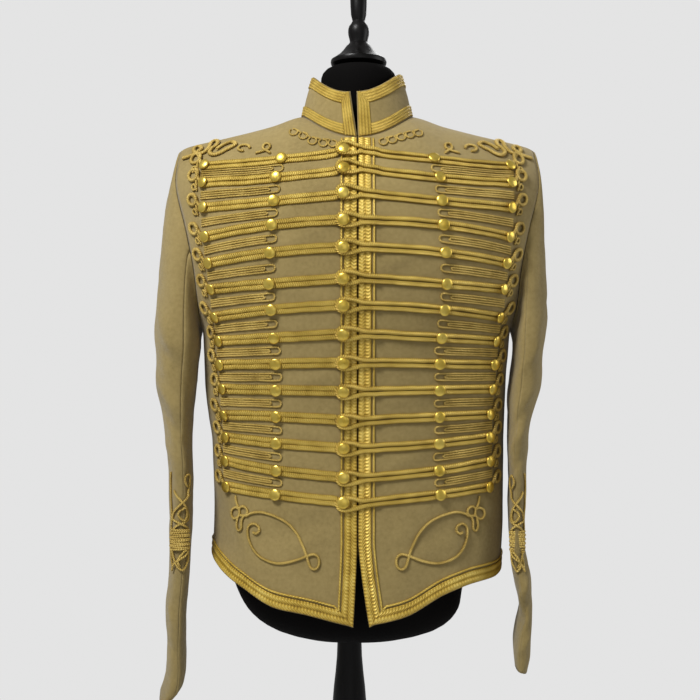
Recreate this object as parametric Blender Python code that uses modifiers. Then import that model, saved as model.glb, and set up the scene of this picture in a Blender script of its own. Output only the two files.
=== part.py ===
# Hussar jacket on a limbless dress form with a turned stand.
# Metres, +Z up, the front faces -Y and +X is the wearer's left.
# The origin lies on the floor, under the middle of the whole object's box.

import math

import bmesh
import bpy
from mathutils import Vector
from mathutils.bvhtree import BVHTree

# Cloth, seams and how far trim lies off the cloth
CLOTH = 0.002
SEAM_GAP = 0.0003
TRIM_LIFT = 0.0006
OVER_LACE_LIFT = 0.0032
TRIM_CLEAR = 0.0004
UNDERSIDE_SHARES = (0.0, 0.17, 0.33, 0.5, 0.67, 0.83, 1.0)

# The middle of the whole box lies this far from the jacket's front edge line
BOX_MIDDLE_X = -0.0092
BOX_MIDDLE_Y = 0.0

# Plan outline: a rounded oval, and how the shoulders roll over to their ridge
OVAL_POWER = 2.3
ROLL_POWER = 2.2
ROLL_DROP = 0.16
REROLL_ROUNDS = 6

# Normals are taken across these small steps
TURN_STEP = 0.3
HEIGHT_STEP = 0.0008
COLLAR_STEP = 0.004
SLEEVE_COLUMN_STEP = 0.05
SLEEVE_HEIGHT_STEP = 0.002

# The jacket's outer surface: how far it reaches to each side, the front and the back at each height
BODY_COLUMNS = ("z", "right", "left", "front", "back")
BODY = (
    (0.760, 0.1900, 0.1900, 0.126, 0.122),
    (0.820, 0.1900, 0.1900, 0.125, 0.122),
    (0.870, 0.1895, 0.1870, 0.122, 0.116),
    (0.940, 0.1870, 0.1900, 0.116, 0.106),
    (1.030, 0.1890, 0.1910, 0.112, 0.101),
    (1.060, 0.1935, 0.1920, 0.113, 0.102),
    (1.100, 0.1980, 0.1935, 0.116, 0.106),
    (1.150, 0.2000, 0.1970, 0.122, 0.112),
    (1.175, 0.2020, 0.2000, 0.126, 0.115),
    (1.205, 0.2120, 0.2120, 0.130, 0.118),
    (1.260, 0.2255, 0.2255, 0.133, 0.122),
    (1.305, 0.2360, 0.2360, 0.132, 0.122),
    (1.360, 0.2490, 0.2490, 0.127, 0.118),
    (1.400, 0.2465, 0.2465, 0.121, 0.112),
    (1.450, 0.2430, 0.2430, 0.114, 0.106),
)

# Height of the shoulder ridge at each distance from the middle
RIDGE_COLUMNS = ("x", "z")
RIDGE = (
    (0.000, 1.4525),
    (0.072, 1.4505),
    (0.112, 1.4378),
    (0.170, 1.4238),
    (0.216, 1.4140),
    (0.231, 1.4080),
    (0.260, 1.3850),
)

# Armhole, from the bottom to the shoulder tip; turn is 0 at centre front and 90 at the side
ARMHOLE_COLUMNS = ("share", "z", "turn")
ARMHOLE = (
    (0.00, 1.1750, 90.0),
    (0.11, 1.1800, 80.0),
    (0.25, 1.2050, 71.5),
    (0.40, 1.2450, 66.0),
    (0.55, 1.2870, 65.0),
    (0.70, 1.3290, 66.0),
    (0.85, 1.3710, 67.0),
    (1.00, 1.4080, 68.0),
)

# Hem height round the jacket for the wearer's right and left
HEM_COLUMNS = ("turn", "right", "left")
HEM = (
    (0.0, 0.8190, 0.8190),
    (15.0, 0.8320, 0.8310),
    (30.0, 0.8395, 0.8530),
    (45.0, 0.8575, 0.8625),
    (70.0, 0.8775, 0.8635),
    (90.0, 0.8840, 0.8680),
    (130.0, 0.8790, 0.8740),
    (180.0, 0.8750, 0.8750),
)

# The front edges meet above FRONT_PARTS_AT and fall apart below it
FRONT_SLIT = 0.0006
FRONT_PARTS_AT = 0.918
FRONT_PARTS = {"right": 0.0048, "left": 0.0130}
FRONT_PARTS_POWER = 1.3

NECK_HALF_WIDTH = 0.072
NECK_FRONT_Z = 1.411
NECK_SIDE_Z = 1.4505
NECK_BACK_Z = 1.4355

COLLAR_FRONT_HEIGHT = 0.059
COLLAR_BACK_HEIGHT = 0.050
COLLAR_TOP_HALF_WIDTH = 0.058
COLLAR_TOP_FRONT = 0.074
COLLAR_TOP_BACK = 0.056
COLLAR_TOP_ENDS = {"left": -1.0, "right": -9.0}
COLLAR_LEAST_TURN = 1e-6
# Collar laces, as shares of its height and of the way round from each front end
COLLAR_BANDS = {"bottom": (0.03, 0.25), "top": (0.79, 0.99)}
COLLAR_FRONT_STOPS = (0.03, 0.5, 0.99)
COLLAR_FRONT_FROM = 0.002
COLLAR_FRONT_TO = 0.030
COLLAR_BAND_START = 0.031

# How many rows and columns each panel has
SIDE_ROWS = 7
ARMHOLE_ROWS = 9
ARMHOLE_SAMPLES = 200
SPLIT_BELOW_ARMHOLE = 0.022
ROW_BLEND_POWER = 2
BACK_SIDE_TURN = 90.001
NECK_COLUMNS = 4
SHOULDER_COLUMNS = 6
COLLAR_COLUMNS = NECK_COLUMNS * 4
COLLAR_ROWS = 2
SLEEVE_RING = ARMHOLE_ROWS * 2

# Sleeves below the armhole: outer and inner edge from the middle, fore-and-aft middle and half depth
SLEEVE_COLUMNS = ("z", "outer", "inner", "middle_y", "half_depth")
SLEEVES = {
    "right": (
        (1.150, 0.2640, 0.2060, 0.004, 0.082),
        (1.105, 0.2635, 0.2105, 0.003, 0.080),
        (1.070, 0.2580, 0.2145, 0.001, 0.078),
        (1.032, 0.2500, 0.2165, -0.002, 0.075),
        (0.980, 0.2455, 0.2145, -0.007, 0.072),
        (0.925, 0.2445, 0.2145, -0.014, 0.069),
        (0.870, 0.2430, 0.2160, -0.021, 0.065),
        (0.820, 0.2460, 0.2190, -0.027, 0.061),
        (0.770, 0.2440, 0.2195, -0.032, 0.058),
        (0.738, 0.2450, 0.2185, -0.035, 0.056),
        (0.720, 0.2485, 0.2215, -0.036, 0.056),
        (0.708, 0.2520, 0.2300, -0.037, 0.055),
    ),
    "left": (
        (1.150, 0.2445, 0.2050, 0.004, 0.082),
        (1.105, 0.2420, 0.2000, 0.003, 0.080),
        (1.070, 0.2315, 0.1980, 0.001, 0.078),
        (1.032, 0.2230, 0.1975, -0.002, 0.075),
        (0.980, 0.2210, 0.1980, -0.007, 0.072),
        (0.925, 0.2180, 0.1970, -0.014, 0.069),
        (0.880, 0.2185, 0.1985, -0.021, 0.065),
        (0.850, 0.2240, 0.2035, -0.025, 0.063),
        (0.820, 0.2250, 0.2080, -0.029, 0.061),
        (0.790, 0.2230, 0.2030, -0.032, 0.059),
        (0.765, 0.2220, 0.2000, -0.034, 0.057),
        (0.746, 0.2180, 0.2010, -0.035, 0.056),
    ),
}
# The front of each sleeve is turned in by this much for each metre of its depth
SLEEVE_TURNED_IN = 0.15
SLEEVE_POWER = 2.8
CAP_ROWS = 4
CAP_START_LENGTH = 0.035
CAP_END_LENGTH = 0.120
CAP_END_LEAST = 0.020
CAP_START_SHARE = 0.35
CAP_START_SLOPE = -0.15
UNDER_SLEEVE_COLUMNS = 4
SLEEVE_SEAM_GAP = 0.0015

# Frogging rows: heights at the front edge, at the middle button and at the outer button
ROW_COLUMNS = ("centre_z", "mid_z", "outer_z", "mid_x", "outer_x")
ROWS = (
    (1.3920, 1.3810, 1.3780, 0.092, 0.190),
    (1.3680, 1.3570, 1.3550, 0.098, 0.189),
    (1.3370, 1.3280, 1.3240, 0.100, 0.188),
    (1.3040, 1.2990, 1.2880, 0.102, 0.185),
    (1.2720, 1.2660, 1.2560, 0.104, 0.181),
    (1.2360, 1.2290, 1.2240, 0.105, 0.178),
    (1.2035, 1.1980, 1.1900, 0.103, 0.174),
    (1.1700, 1.1645, 1.1600, 0.100, 0.170),
    (1.1350, 1.1330, 1.1305, 0.098, 0.168),
    (1.1000, 1.1010, 1.1005, 0.098, 0.165),
    (1.0640, 1.0685, 1.0685, 0.098, 0.163),
    (1.0310, 1.0360, 1.0400, 0.098, 0.162),
    (0.9955, 1.0030, 1.0100, 0.098, 0.163),
    (0.9650, 0.9740, 0.9780, 0.099, 0.162),
)
BAR_WIDTH = 0.013
BAR_OVERHANG = 0.006
BAR_SHARES = (0.20, 0.55, 1.0)
BAR_ENDS = {"right": -0.0115, "left": -0.0088}
CENTRE_BUTTON_X = -0.017
BUTTON_RADIUS = 0.0075
BUTTON_HEIGHT = 0.0078
BUTTON_SIDES = 6
BUTTON_RINGS = ((1.0, 0.0), (0.58, 0.85))
BUTTON_SUNK = 0.0009
BUTTON_SLACK = 0.0004
CLIMB_FROM_X = 0.034
CLIMB_TO_X = 0.0255

# Height across each kind of trim: share across, and height above its flat underside
BAR_PROFILE = ((0.0, 0.0), (0.18, 0.0028), (0.50, 0.0014), (0.82, 0.0028), (1.0, 0.0))
LACE_PROFILE = ((0.0, 0.0), (0.05, 0.0013), (0.70, 0.0013), (0.78, 0.0003), (0.90, 0.0014), (1.0, 0.0))
CORD_PROFILE = ((0.0, 0.0), (0.5, 0.0020), (1.0, 0.0))
FLAT_PROFILE = ((0.0, 0.0), (0.2, 0.0018), (0.8, 0.0018), (1.0, 0.0))

LACE_WIDTH = 0.0225
LACE_FROM_EDGE = 0.0006
LACE_BELOW_NECK = 0.0015
LACE_SIDE_TURN = 89.6
LACE_BACK_TURN = 179.9
HAIRPIN_WIDTH = 0.0070
HAIRPIN_RAISED = 0.0001
HAIRPIN_TO_CHAIN = 0.0115
HAIRPIN_FROM_BUTTON = 0.003
HAIRPIN_SHARES = (0.0, 0.30, 0.62)
CHAIN_WIDTH = 0.0085
CHAIN_OUT = 0.0125
CHAIN_TAIL = 0.012
CORD_WIDTH = 0.0032

# Skirt leaf: its ends and how far each arc bows, measured across the panel
LEAF_OUTER = (0.136, 0.944)
LEAF_INNER = (0.062, 0.893)
LEAF_BOW_UP = 0.018
LEAF_BOW_DOWN = 0.028
LEAF_STEPS = 9

# Cuff knot, a three-lobed outline on the outer front of each sleeve
KNOT_MIDDLE_Z = {"right": 0.930, "left": 0.935}
KNOT_TURN = 62.0
KNOT_HALF_HEIGHT = 0.050
KNOT_HALF_WIDTH = 0.019
KNOT_STEPS = 18
KNOT_REACH = 0.66
KNOT_LOBES = 3

# Shoulder scroll, a waved band below the shoulder ridge
SCROLL_FROM_X = 0.132
SCROLL_TO_X = 0.214
SCROLL_BELOW_RIDGE = 0.0125
SCROLL_WIDTH = 0.0085
SCROLL_STEPS = 9

# How closely the dress form fills the jacket at each height, for the wearer's right and left
FORM_COLUMNS = ("z", "right", "left")
FORM_FIT = (
    (0.772, 0.240, 0.240),
    (0.777, 0.400, 0.400),
    (0.790, 0.600, 0.600),
    (0.810, 0.745, 0.708),
    (0.838, 0.835, 0.745),
    (0.870, 0.890, 0.790),
    (0.910, 0.930, 0.845),
    (0.960, 0.945, 0.905),
    (1.030, 0.955, 0.945),
    (1.100, 0.962, 0.962),
    (1.150, 0.958, 0.958),
    (1.190, 0.955, 0.955),
    (1.230, 0.985, 0.985),
    (1.270, 1.000, 1.000),
    (1.388, 1.000, 1.000),
    (1.402, 0.980, 0.980),
    (1.414, 0.930, 0.930),
    (1.424, 0.870, 0.870),
    (1.432, 0.800, 0.800),
)
FORM_CLEAR = 0.0013
# Its underside hangs a little to the wearer's right
FORM_ASIDE = -0.005
FORM_LEVELS = (
    0.772, 0.777, 0.790, 0.810, 0.838, 0.870, 0.930, 1.000, 1.070, 1.140,
    1.190, 1.230, 1.270, 1.310, 1.345, 1.370, 1.388, 1.402, 1.414, 1.424, 1.432,
)
FORM_HALF_POINTS = 10
FORM_SEATED_FROM = 1.10
FORM_WIDEST = 0.240
FORM_WIDTH_STEP = 0.001
FORM_ARMHOLE_SAMPLES = 40
FORM_ROLL_FROM = 1.36
FORM_ROLL_CLEAR = 0.0040
FORM_END_CLEAR = 0.0045
FORM_RIDGE_CLEAR = 0.0060
# Above the neck's edge the form goes on up inside the collar, leaning in, to a level top
FORM_BELOW_NECK = 0.003
FORM_NECK_LEAN = 0.35
FORM_TOP = 1.4335
FORM_TOP_SHARE = 0.62

# Turned pieces: radius and height, from the top down
POLE_X = -0.010
FINIAL_X = 0.002
NECK_Y = -0.008
NECK_PROFILE = (
    (0.0000, 1.5160), (0.0280, 1.5155), (0.0430, 1.5110), (0.0490, 1.5010),
    (0.0495, 1.4800), (0.0480, 1.4600), (0.0460, 1.4338), (0.0000, 1.4338),
)
FINIAL_PROFILE = (
    (0.0000, 1.6600), (0.0090, 1.6570), (0.0150, 1.6480), (0.0150, 1.6390),
    (0.0095, 1.6290), (0.0110, 1.6050), (0.0100, 1.5850), (0.0080, 1.5770),
    (0.0125, 1.5700), (0.0135, 1.5600), (0.0115, 1.5490), (0.0160, 1.5440),
    (0.0260, 1.5320), (0.0360, 1.5250), (0.0360, 1.5200), (0.0280, 1.5163), (0.0000, 1.5163),
)
POLE_PROFILE = (
    (0.0000, 0.7717), (0.0155, 0.7717), (0.0165, 0.7450), (0.0205, 0.7050),
    (0.0230, 0.6600), (0.0205, 0.5900), (0.0200, 0.1500), (0.0240, 0.1200),
    (0.0260, 0.0900), (0.0220, 0.0503), (0.0000, 0.0503),
)
BASE_PROFILE = (
    (0.0000, 0.0500), (0.0260, 0.0500), (0.0340, 0.0420), (0.0600, 0.0340),
    (0.1400, 0.0240), (0.1520, 0.0160), (0.1520, 0.0000), (0.0000, 0.0000),
)
TURNED_STEPS = 16
MERGE_WITHIN = 0.0001

# Edges that turn by more than this stay sharp
SHARP_TURN = 40

# Colours, roughness and metallic values read off the photo
FINISHES = {
    "wool_cloth": ((0.30, 0.235, 0.125), 0.92, 0.0),
    "gold_braid": ((0.62, 0.42, 0.09), 0.45, 0.6),
    "gilt_button": ((0.80, 0.56, 0.16), 0.20, 1.0),
    "form_cover": ((0.008, 0.008, 0.009), 0.85, 0.0),
    "black_wood": ((0.010, 0.009, 0.009), 0.35, 0.0),
}

SIDES = {"right": -1.0, "left": 1.0}


# Tables are read with a smooth curve through their rows
def read(table, columns, key, value, wanted):
    at = columns.index(key)
    want = columns.index(wanted)
    keys = [row[at] for row in table]
    values = [row[want] for row in table]
    if value <= keys[0]:
        return values[0]
    if value >= keys[-1]:
        return values[-1]
    i = max(k for k in range(len(keys) - 1) if keys[k] <= value)
    span = keys[i + 1] - keys[i]
    slope = (values[i + 1] - values[i]) / span
    before = slope
    after = slope
    if i > 0:
        before = (values[i + 1] - values[i - 1]) / (keys[i + 1] - keys[i - 1])
    if i < len(keys) - 2:
        after = (values[i + 2] - values[i]) / (keys[i + 2] - keys[i])
    t = (value - keys[i]) / span
    h00 = 2 * t ** 3 - 3 * t ** 2 + 1
    h10 = t ** 3 - 2 * t ** 2 + t
    h01 = -2 * t ** 3 + 3 * t ** 2
    h11 = t ** 3 - t ** 2
    return h00 * values[i] + h10 * span * before + h01 * values[i + 1] + h11 * span * after


def body(z, wanted):
    return read(BODY, BODY_COLUMNS, "z", z, wanted)


def ridge(x):
    return read(RIDGE, RIDGE_COLUMNS, "x", abs(x), "z")


def signed_power(value, power):
    return math.copysign(abs(value) ** power, value)


def mix(a, b, t):
    return a + (b - a) * t


def side_of(value):
    return "left" if value >= 0 else "right"


# A point of the jacket's outer surface; turn is 0 at centre front, 180 at centre back
def surface(turn, z):
    angle = math.radians(turn)
    x = body(z, side_of(turn)) * signed_power(math.sin(angle), 2 / OVAL_POWER)
    share = min(max((ridge(x) - z) / ROLL_DROP, 0.0), 1.0)
    roll = (1 - (1 - share) ** ROLL_POWER) ** (1 / ROLL_POWER)
    across = abs(math.cos(angle)) ** (2 / OVAL_POWER)
    if abs(turn) <= 90.0:
        y = -SEAM_GAP / 2 - body(z, "front") * across * roll
    else:
        y = SEAM_GAP / 2 + body(z, "back") * across * roll
    return Vector((x, y, z))


def turn_of(x, z, back=False):
    share = min(abs(x) / body(z, side_of(x)), 1.0)
    turn = math.degrees(math.asin(share ** (OVAL_POWER / 2)))
    if back:
        turn = 180.0 - turn
    return math.copysign(turn, x)


def surface_normal(turn, z):
    a = turn - TURN_STEP
    b = turn + TURN_STEP
    if abs(turn) <= 90.0:
        a = max(a, -90.0)
        b = min(b, 90.0)
    elif turn > 0:
        a = max(a, BACK_SIDE_TURN)
        b = min(b, 180.0)
    else:
        a = max(a, -180.0)
        b = min(b, -BACK_SIDE_TURN)
    along = surface(b, z) - surface(a, z)
    up = surface(turn, z + HEIGHT_STEP) - surface(turn, z - HEIGHT_STEP)
    normal = along.cross(up)
    here = surface(turn, z)
    if abs(here.y) < SEAM_GAP:
        normal.y = 0.0
    return normal.normalized()


def on_body(turn, z, height):
    return surface(turn, z) + surface_normal(turn, z) * height


# Near the ridge, heights are spread so that even steps follow the roll of the shoulder
def unroll(x, z):
    share = (ridge(x) - z) / ROLL_DROP
    if share >= 1.0:
        return z
    even = 1.0 - math.asin((1.0 - max(share, 0.0)) ** (ROLL_POWER / 2)) / (math.pi / 2)
    return ridge(x) - ROLL_DROP * even


def reroll(turn, even_z):
    z = even_z
    for _ in range(REROLL_ROUNDS):
        x = abs(surface(turn, z).x)
        even = (ridge(x) - even_z) / ROLL_DROP
        if even >= 1.0:
            return even_z
        share = 1.0 - math.sin(math.pi / 2 * (1.0 - max(even, 0.0))) ** (2 / ROLL_POWER)
        z = ridge(x) - ROLL_DROP * share
    return z


# Trim and the dress form are seated on the panels' own facets, kept here by name
SEATS = {}


def on_panel(turn, z, height):
    seat = SEATS["outer"].find_nearest(surface(turn, z))[0]
    return seat + surface_normal(turn, z) * height


def front_edge_x(side, z):
    fall = max(FRONT_PARTS_AT - z, 0.0) / (FRONT_PARTS_AT - HEM[0][1])
    return SIDES[side] * (FRONT_SLIT + FRONT_PARTS[side] * fall ** FRONT_PARTS_POWER)


def hem_z(side, turn):
    return read(HEM, HEM_COLUMNS, "turn", abs(turn), side)


def neck_z(x, face):
    low = NECK_FRONT_Z if face == "front" else NECK_BACK_Z
    return low + (NECK_SIDE_Z - low) * (x / NECK_HALF_WIDTH) ** 2


def neck_point(degrees, face):
    x = NECK_HALF_WIDTH * math.sin(math.radians(degrees))
    return x, neck_z(x, face)


# Meshes
def collection(name):
    made = bpy.data.collections.new(name)
    bpy.context.scene.collection.children.link(made)
    return made


def material(name):
    found = bpy.data.materials.get(name)
    if found:
        return found
    colour, roughness, metallic = FINISHES[name]
    made = bpy.data.materials.new(name)
    made.use_nodes = True
    shader = made.node_tree.nodes["Principled BSDF"]
    shader.inputs["Base Color"].default_value = (*colour, 1.0)
    shader.inputs["Roughness"].default_value = roughness
    shader.inputs["Metallic"].default_value = metallic
    return made


def place(name, points, faces, finish, group):
    mesh = bpy.data.meshes.new(name)
    bm = bmesh.new()
    verts = [bm.verts.new(point) for point in points]
    for face in faces:
        bm.faces.new([verts[i] for i in face])
    bmesh.ops.recalc_face_normals(bm, faces=bm.faces)
    bm.to_mesh(mesh)
    bm.free()
    mesh.materials.append(material(finish))
    mesh.shade_smooth()
    mesh.set_sharp_from_angle(angle=math.radians(SHARP_TURN))
    made = bpy.data.objects.new(name, mesh)
    made.location = (-BOX_MIDDLE_X, -BOX_MIDDLE_Y, 0.0)
    group.objects.link(made)
    return made


# The two triangles of a quad of cloth, split along the diagonal that lies further out
def split_quad(points, quad, out):
    a, b, c, d = quad
    if (points[a] + points[c] - points[b] - points[d]).dot(out) >= 0.0:
        return (a, b, c), (a, c, d)
    return (a, b, d), (b, c, d)


# A cloth wall from an outer and an inner grid of points, closed round its border. Both skins are split
# along the same diagonals, so they stay apart where the cloth bends both ways
def wall(name, outer, inner, finish, group):
    rows = len(outer)
    columns = len(outer[0])
    points = [p for row in outer for p in row] + [p for row in inner for p in row]
    inside = rows * columns
    faces = []
    for j in range(rows - 1):
        for i in range(columns - 1):
            a = j * columns + i
            quad = (a, a + 1, a + columns + 1, a + columns)
            for half in split_quad(points, quad, points[a] - points[inside + a]):
                faces.append(half)
                faces.append(tuple(inside + k for k in reversed(half)))
    border = list(range(columns))
    border += [j * columns + columns - 1 for j in range(1, rows)]
    border += [(rows - 1) * columns + k for k in reversed(range(columns - 1))]
    border += [j * columns for j in reversed(range(1, rows - 1))]
    for k, start in enumerate(border):
        end = border[(k + 1) % len(border)]
        faces.append((start, inside + start, inside + end, end))
    return place(name, points, faces, finish, group)


# A solid lofted through rings of points, capped at its ends unless it closes on itself
def loft_parts(rings, cyclic=False):
    count = len(rings[0])
    points = [p for ring in rings for p in ring]
    faces = []
    spans = len(rings) if cyclic else len(rings) - 1
    for j in range(spans):
        here = j * count
        there = ((j + 1) % len(rings)) * count
        for i in range(count):
            k = (i + 1) % count
            faces.append((here + i, here + k, there + k, there + i))
    if not cyclic:
        faces.append(tuple(reversed(range(count))))
        faces.append(tuple(range((len(rings) - 1) * count, len(rings) * count)))
    return points, faces


def loft(name, rings, finish, group, cyclic=False):
    points, faces = loft_parts(rings, cyclic)
    return place(name, points, faces, finish, group)


# Lifts a trim's rings just far enough that no facet of the cloth stands through its underside
def seat_rings(rings, normals, seat, cyclic=False):
    needs = [0.0] * len(rings)
    for k in range(len(rings) if cyclic else len(rings) - 1):
        after = (k + 1) % len(rings)
        for across in UNDERSIDE_SHARES:
            start = rings[k][0].lerp(rings[k][-1], across)
            end = rings[after][0].lerp(rings[after][-1], across)
            for along in UNDERSIDE_SHARES:
                spot = start.lerp(end, along)
                near = SEATS[seat].find_nearest(spot)[0]
                need = TRIM_CLEAR - (spot - near).dot(normals[k])
                needs[k] = max(needs[k], need)
                needs[after] = max(needs[after], need)
    return [[p + normal * need for p in ring] for ring, normal, need in zip(rings, normals, needs)]


# Rings of a wide flat trim, each from one edge to the other
def lace_rings(at, stations, profile, seat):
    rings = []
    normals = []
    for edge_a, edge_b in stations:
        ring = []
        for share, height in profile:
            spot = tuple(mix(a, b, share) for a, b in zip(edge_a, edge_b))
            ring.append(at(*spot, TRIM_LIFT + height))
        middle = tuple(mix(a, b, 0.5) for a, b in zip(edge_a, edge_b))
        normals.append((at(*middle, CLOTH) - at(*middle, 0.0)).normalized())
        rings.append(ring)
    return seat_rings(rings, normals, seat)


# Rings of a narrow trim that follows a path of spots on a surface
def path_rings(at, path, width, profile, lifts, seat, cyclic=False):
    rings = []
    normals = []
    count = len(path)
    for k, spot in enumerate(path):
        before = path[(k - 1) % count] if cyclic or k > 0 else spot
        after = path[(k + 1) % count] if cyclic or k < count - 1 else spot
        along = at(*after, 0.0) - at(*before, 0.0)
        base = at(*spot, 0.0)
        normal = (at(*spot, CLOTH) - base).normalized()
        across = normal.cross(along).normalized()
        normals.append(normal)
        rings.append([
            base + across * width * (share - 0.5) + normal * (lifts[k] + height)
            for share, height in profile
        ])
    return seat_rings(rings, normals, seat, cyclic)


def join_solid(target, cutter):
    cutter.hide_render = True
    cutter.display_type = "WIRE"
    joined = target.modifiers.new("joined", "BOOLEAN")
    joined.operation = "UNION"
    joined.solver = "EXACT"
    joined.object = cutter


def merge_parts(parts):
    points = []
    faces = []
    for some_points, some_faces in parts:
        start = len(points)
        points += some_points
        faces += [tuple(start + i for i in face) for face in some_faces]
    return points, faces


# Body panels
def armhole_spot(share, face):
    turn = read(ARMHOLE, ARMHOLE_COLUMNS, "share", share, "turn")
    z = read(ARMHOLE, ARMHOLE_COLUMNS, "share", share, "z")
    return (turn if face == "front" else max(180.0 - turn, BACK_SIDE_TURN)), z


# Spots at even lengths along the armhole, from its bottom to the shoulder tip
def armhole_spots(face):
    fine = [armhole_spot(k / ARMHOLE_SAMPLES, face) for k in range(ARMHOLE_SAMPLES + 1)]
    lengths = [0.0]
    for k in range(ARMHOLE_SAMPLES):
        lengths.append(lengths[-1] + (surface(*fine[k + 1]) - surface(*fine[k])).length)
    spots = []
    for k in range(ARMHOLE_ROWS + 1):
        wanted = lengths[-1] * k / ARMHOLE_ROWS
        nearest = min(range(len(fine)), key=lambda i: abs(lengths[i] - wanted))
        spots.append(fine[nearest])
    return spots


def panel_spots(side, face):
    sign = SIDES[side]
    columns = NECK_COLUMNS + SHOULDER_COLUMNS
    rows = SIDE_ROWS + ARMHOLE_ROWS
    middle = 0.0 if face == "front" else 180.0

    armhole = armhole_spots(face)
    side_hem = hem_z(side, 90.0)
    side_turn = armhole[0][0]
    outer_edge = [(side_turn, mix(side_hem, armhole[0][1], j / SIDE_ROWS)) for j in range(SIDE_ROWS)]
    outer_edge += armhole

    neck_z = neck_point(0.0, face)[1]
    split = armhole[0][1] - SPLIT_BELOW_ARMHOLE
    low = hem_z(side, middle)
    heights = [mix(low, split, j / SIDE_ROWS) for j in range(SIDE_ROWS)]
    heights += [mix(split, neck_z, j / ARMHOLE_ROWS) for j in range(ARMHOLE_ROWS + 1)]
    middle_edge = []
    for z in heights:
        x = front_edge_x(side, z) if face == "front" else sign * SEAM_GAP / 2
        middle_edge.append((abs(turn_of(x, z, face == "back")), z))

    top_edge = []
    for i in range(columns + 1):
        if i <= NECK_COLUMNS:
            x, z = neck_point(90.0 * i / NECK_COLUMNS, face)
            x = max(x, FRONT_SLIT if face == "front" else SEAM_GAP / 2)
        else:
            tip = abs(surface(*armhole[-1]).x)
            x = mix(NECK_HALF_WIDTH, tip, (i - NECK_COLUMNS) / SHOULDER_COLUMNS)
            z = ridge(x)
        top_edge.append((abs(turn_of(sign * x, z, face == "back")), z))
    top_edge[-1] = armhole[-1]

    hem_edge = []
    for i in range(columns + 1):
        turn = mix(middle_edge[0][0], side_turn, i / columns)
        hem_edge.append((turn, hem_z(side, turn)))
    hem_edge[0] = middle_edge[0]

    def evened(spots):
        return [(turn, unroll(abs(surface(turn, z).x), z)) for turn, z in spots]

    even_middle, even_outer = evened(middle_edge), evened(outer_edge)
    even_hem, even_top = evened(hem_edge), evened(top_edge)
    grid = []
    for j in range(rows + 1):
        blend = (j / rows) ** ROW_BLEND_POWER
        row = []
        for i in range(columns + 1):
            u = i / columns
            spot = []
            for k in (0, 1):
                ends = mix(even_middle[j][k], even_outer[j][k], u)
                shape = mix(even_hem[i][k], even_top[i][k], blend)
                corner_low = mix(even_hem[0][k], even_hem[-1][k], u)
                corner_top = mix(even_top[0][k], even_top[-1][k], u)
                spot.append(ends + shape - mix(corner_low, corner_top, blend))
            row.append((spot[0], reroll(*spot)))
        row[0] = middle_edge[j]
        row[-1] = outer_edge[j]
        grid.append(row)
    grid[0] = hem_edge
    grid[-1] = top_edge
    return [[(sign * turn, z) for turn, z in row] for row in grid]


# The triangles of one skin of some walls; their outer points come first in each mesh
def skin_tree(walls, skin):
    points = []
    triangles = []
    for made in walls:
        mesh = made.data
        mesh.calc_loop_triangles()
        start = len(points)
        outer_count = len(mesh.vertices) // 2
        points += [vertex.co.copy() for vertex in mesh.vertices]
        for triangle in mesh.loop_triangles:
            on_outer = [index < outer_count for index in triangle.vertices]
            if (skin == "outer" and all(on_outer)) or (skin == "inner" and not any(on_outer)):
                triangles.append([start + index for index in triangle.vertices])
    return BVHTree.FromPolygons(points, triangles)


def make_panels(group):
    walls = []
    for face in ("front", "back"):
        for side in SIDES:
            spots = panel_spots(side, face)
            outer = [[on_body(turn, z, 0.0) for turn, z in row] for row in spots]
            inner = [[on_body(turn, z, -CLOTH) for turn, z in row] for row in spots]
            walls.append(wall(f"{face}_{side}", outer, inner, "wool_cloth", group))
    SEATS["outer"] = skin_tree(walls, "outer")
    SEATS["inner"] = skin_tree(walls, "inner")


# Collar
def collar_base(degrees, face_limit):
    face = "front" if abs(degrees) <= 90.0 else "back"
    x, z = neck_point(degrees, face)
    if abs(x) < face_limit:
        x = math.copysign(face_limit, degrees)
    return surface(turn_of(x, z, face == "back"), z)


def collar_top(degrees, base_z):
    angle = math.radians(degrees)
    depth = COLLAR_TOP_FRONT if math.cos(angle) > 0 else COLLAR_TOP_BACK
    x = COLLAR_TOP_HALF_WIDTH * math.sin(angle)
    height = mix(COLLAR_BACK_HEIGHT, COLLAR_FRONT_HEIGHT, (1 + math.cos(angle)) / 2)
    return Vector((x, -depth * math.cos(angle), base_z + height))


# Round the collar, around runs from 0 at the wearer's left front to 1 at the right front
def collar_spot(around, up):
    low = mix(0.0, 360.0, around)
    high = mix(COLLAR_TOP_ENDS["left"], 360.0 + COLLAR_TOP_ENDS["right"], around)
    signed = low if low <= 180.0 else low - 360.0
    if abs(signed) < COLLAR_LEAST_TURN:
        signed = COLLAR_LEAST_TURN if around < 0.5 else -COLLAR_LEAST_TURN
    base = collar_base(signed, FRONT_SLIT if abs(signed) < 90.0 else 0.0)
    base.z += SEAM_GAP
    return base.lerp(collar_top(high, base.z), up)


def on_collar(around, up, height):
    a = collar_spot(max(around - COLLAR_STEP, 0.0), up)
    b = collar_spot(min(around + COLLAR_STEP, 1.0), up)
    rise = collar_spot(around, 1.0) - collar_spot(around, 0.0)
    normal = (b - a).cross(rise).normalized()
    spot = collar_spot(around, up)
    if "collar" in SEATS:
        spot = SEATS["collar"].find_nearest(spot)[0]
    return spot + normal * height


def make_collar(group):
    rows = []
    for height in (0.0, -CLOTH):
        rows.append([
            [on_collar(i / COLLAR_COLUMNS, j / COLLAR_ROWS, height) for i in range(COLLAR_COLUMNS + 1)]
            for j in range(COLLAR_ROWS + 1)
        ])
    collar = wall("collar", rows[0], rows[1], "wool_cloth", group)
    SEATS["collar"] = skin_tree([collar], "outer")


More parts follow.
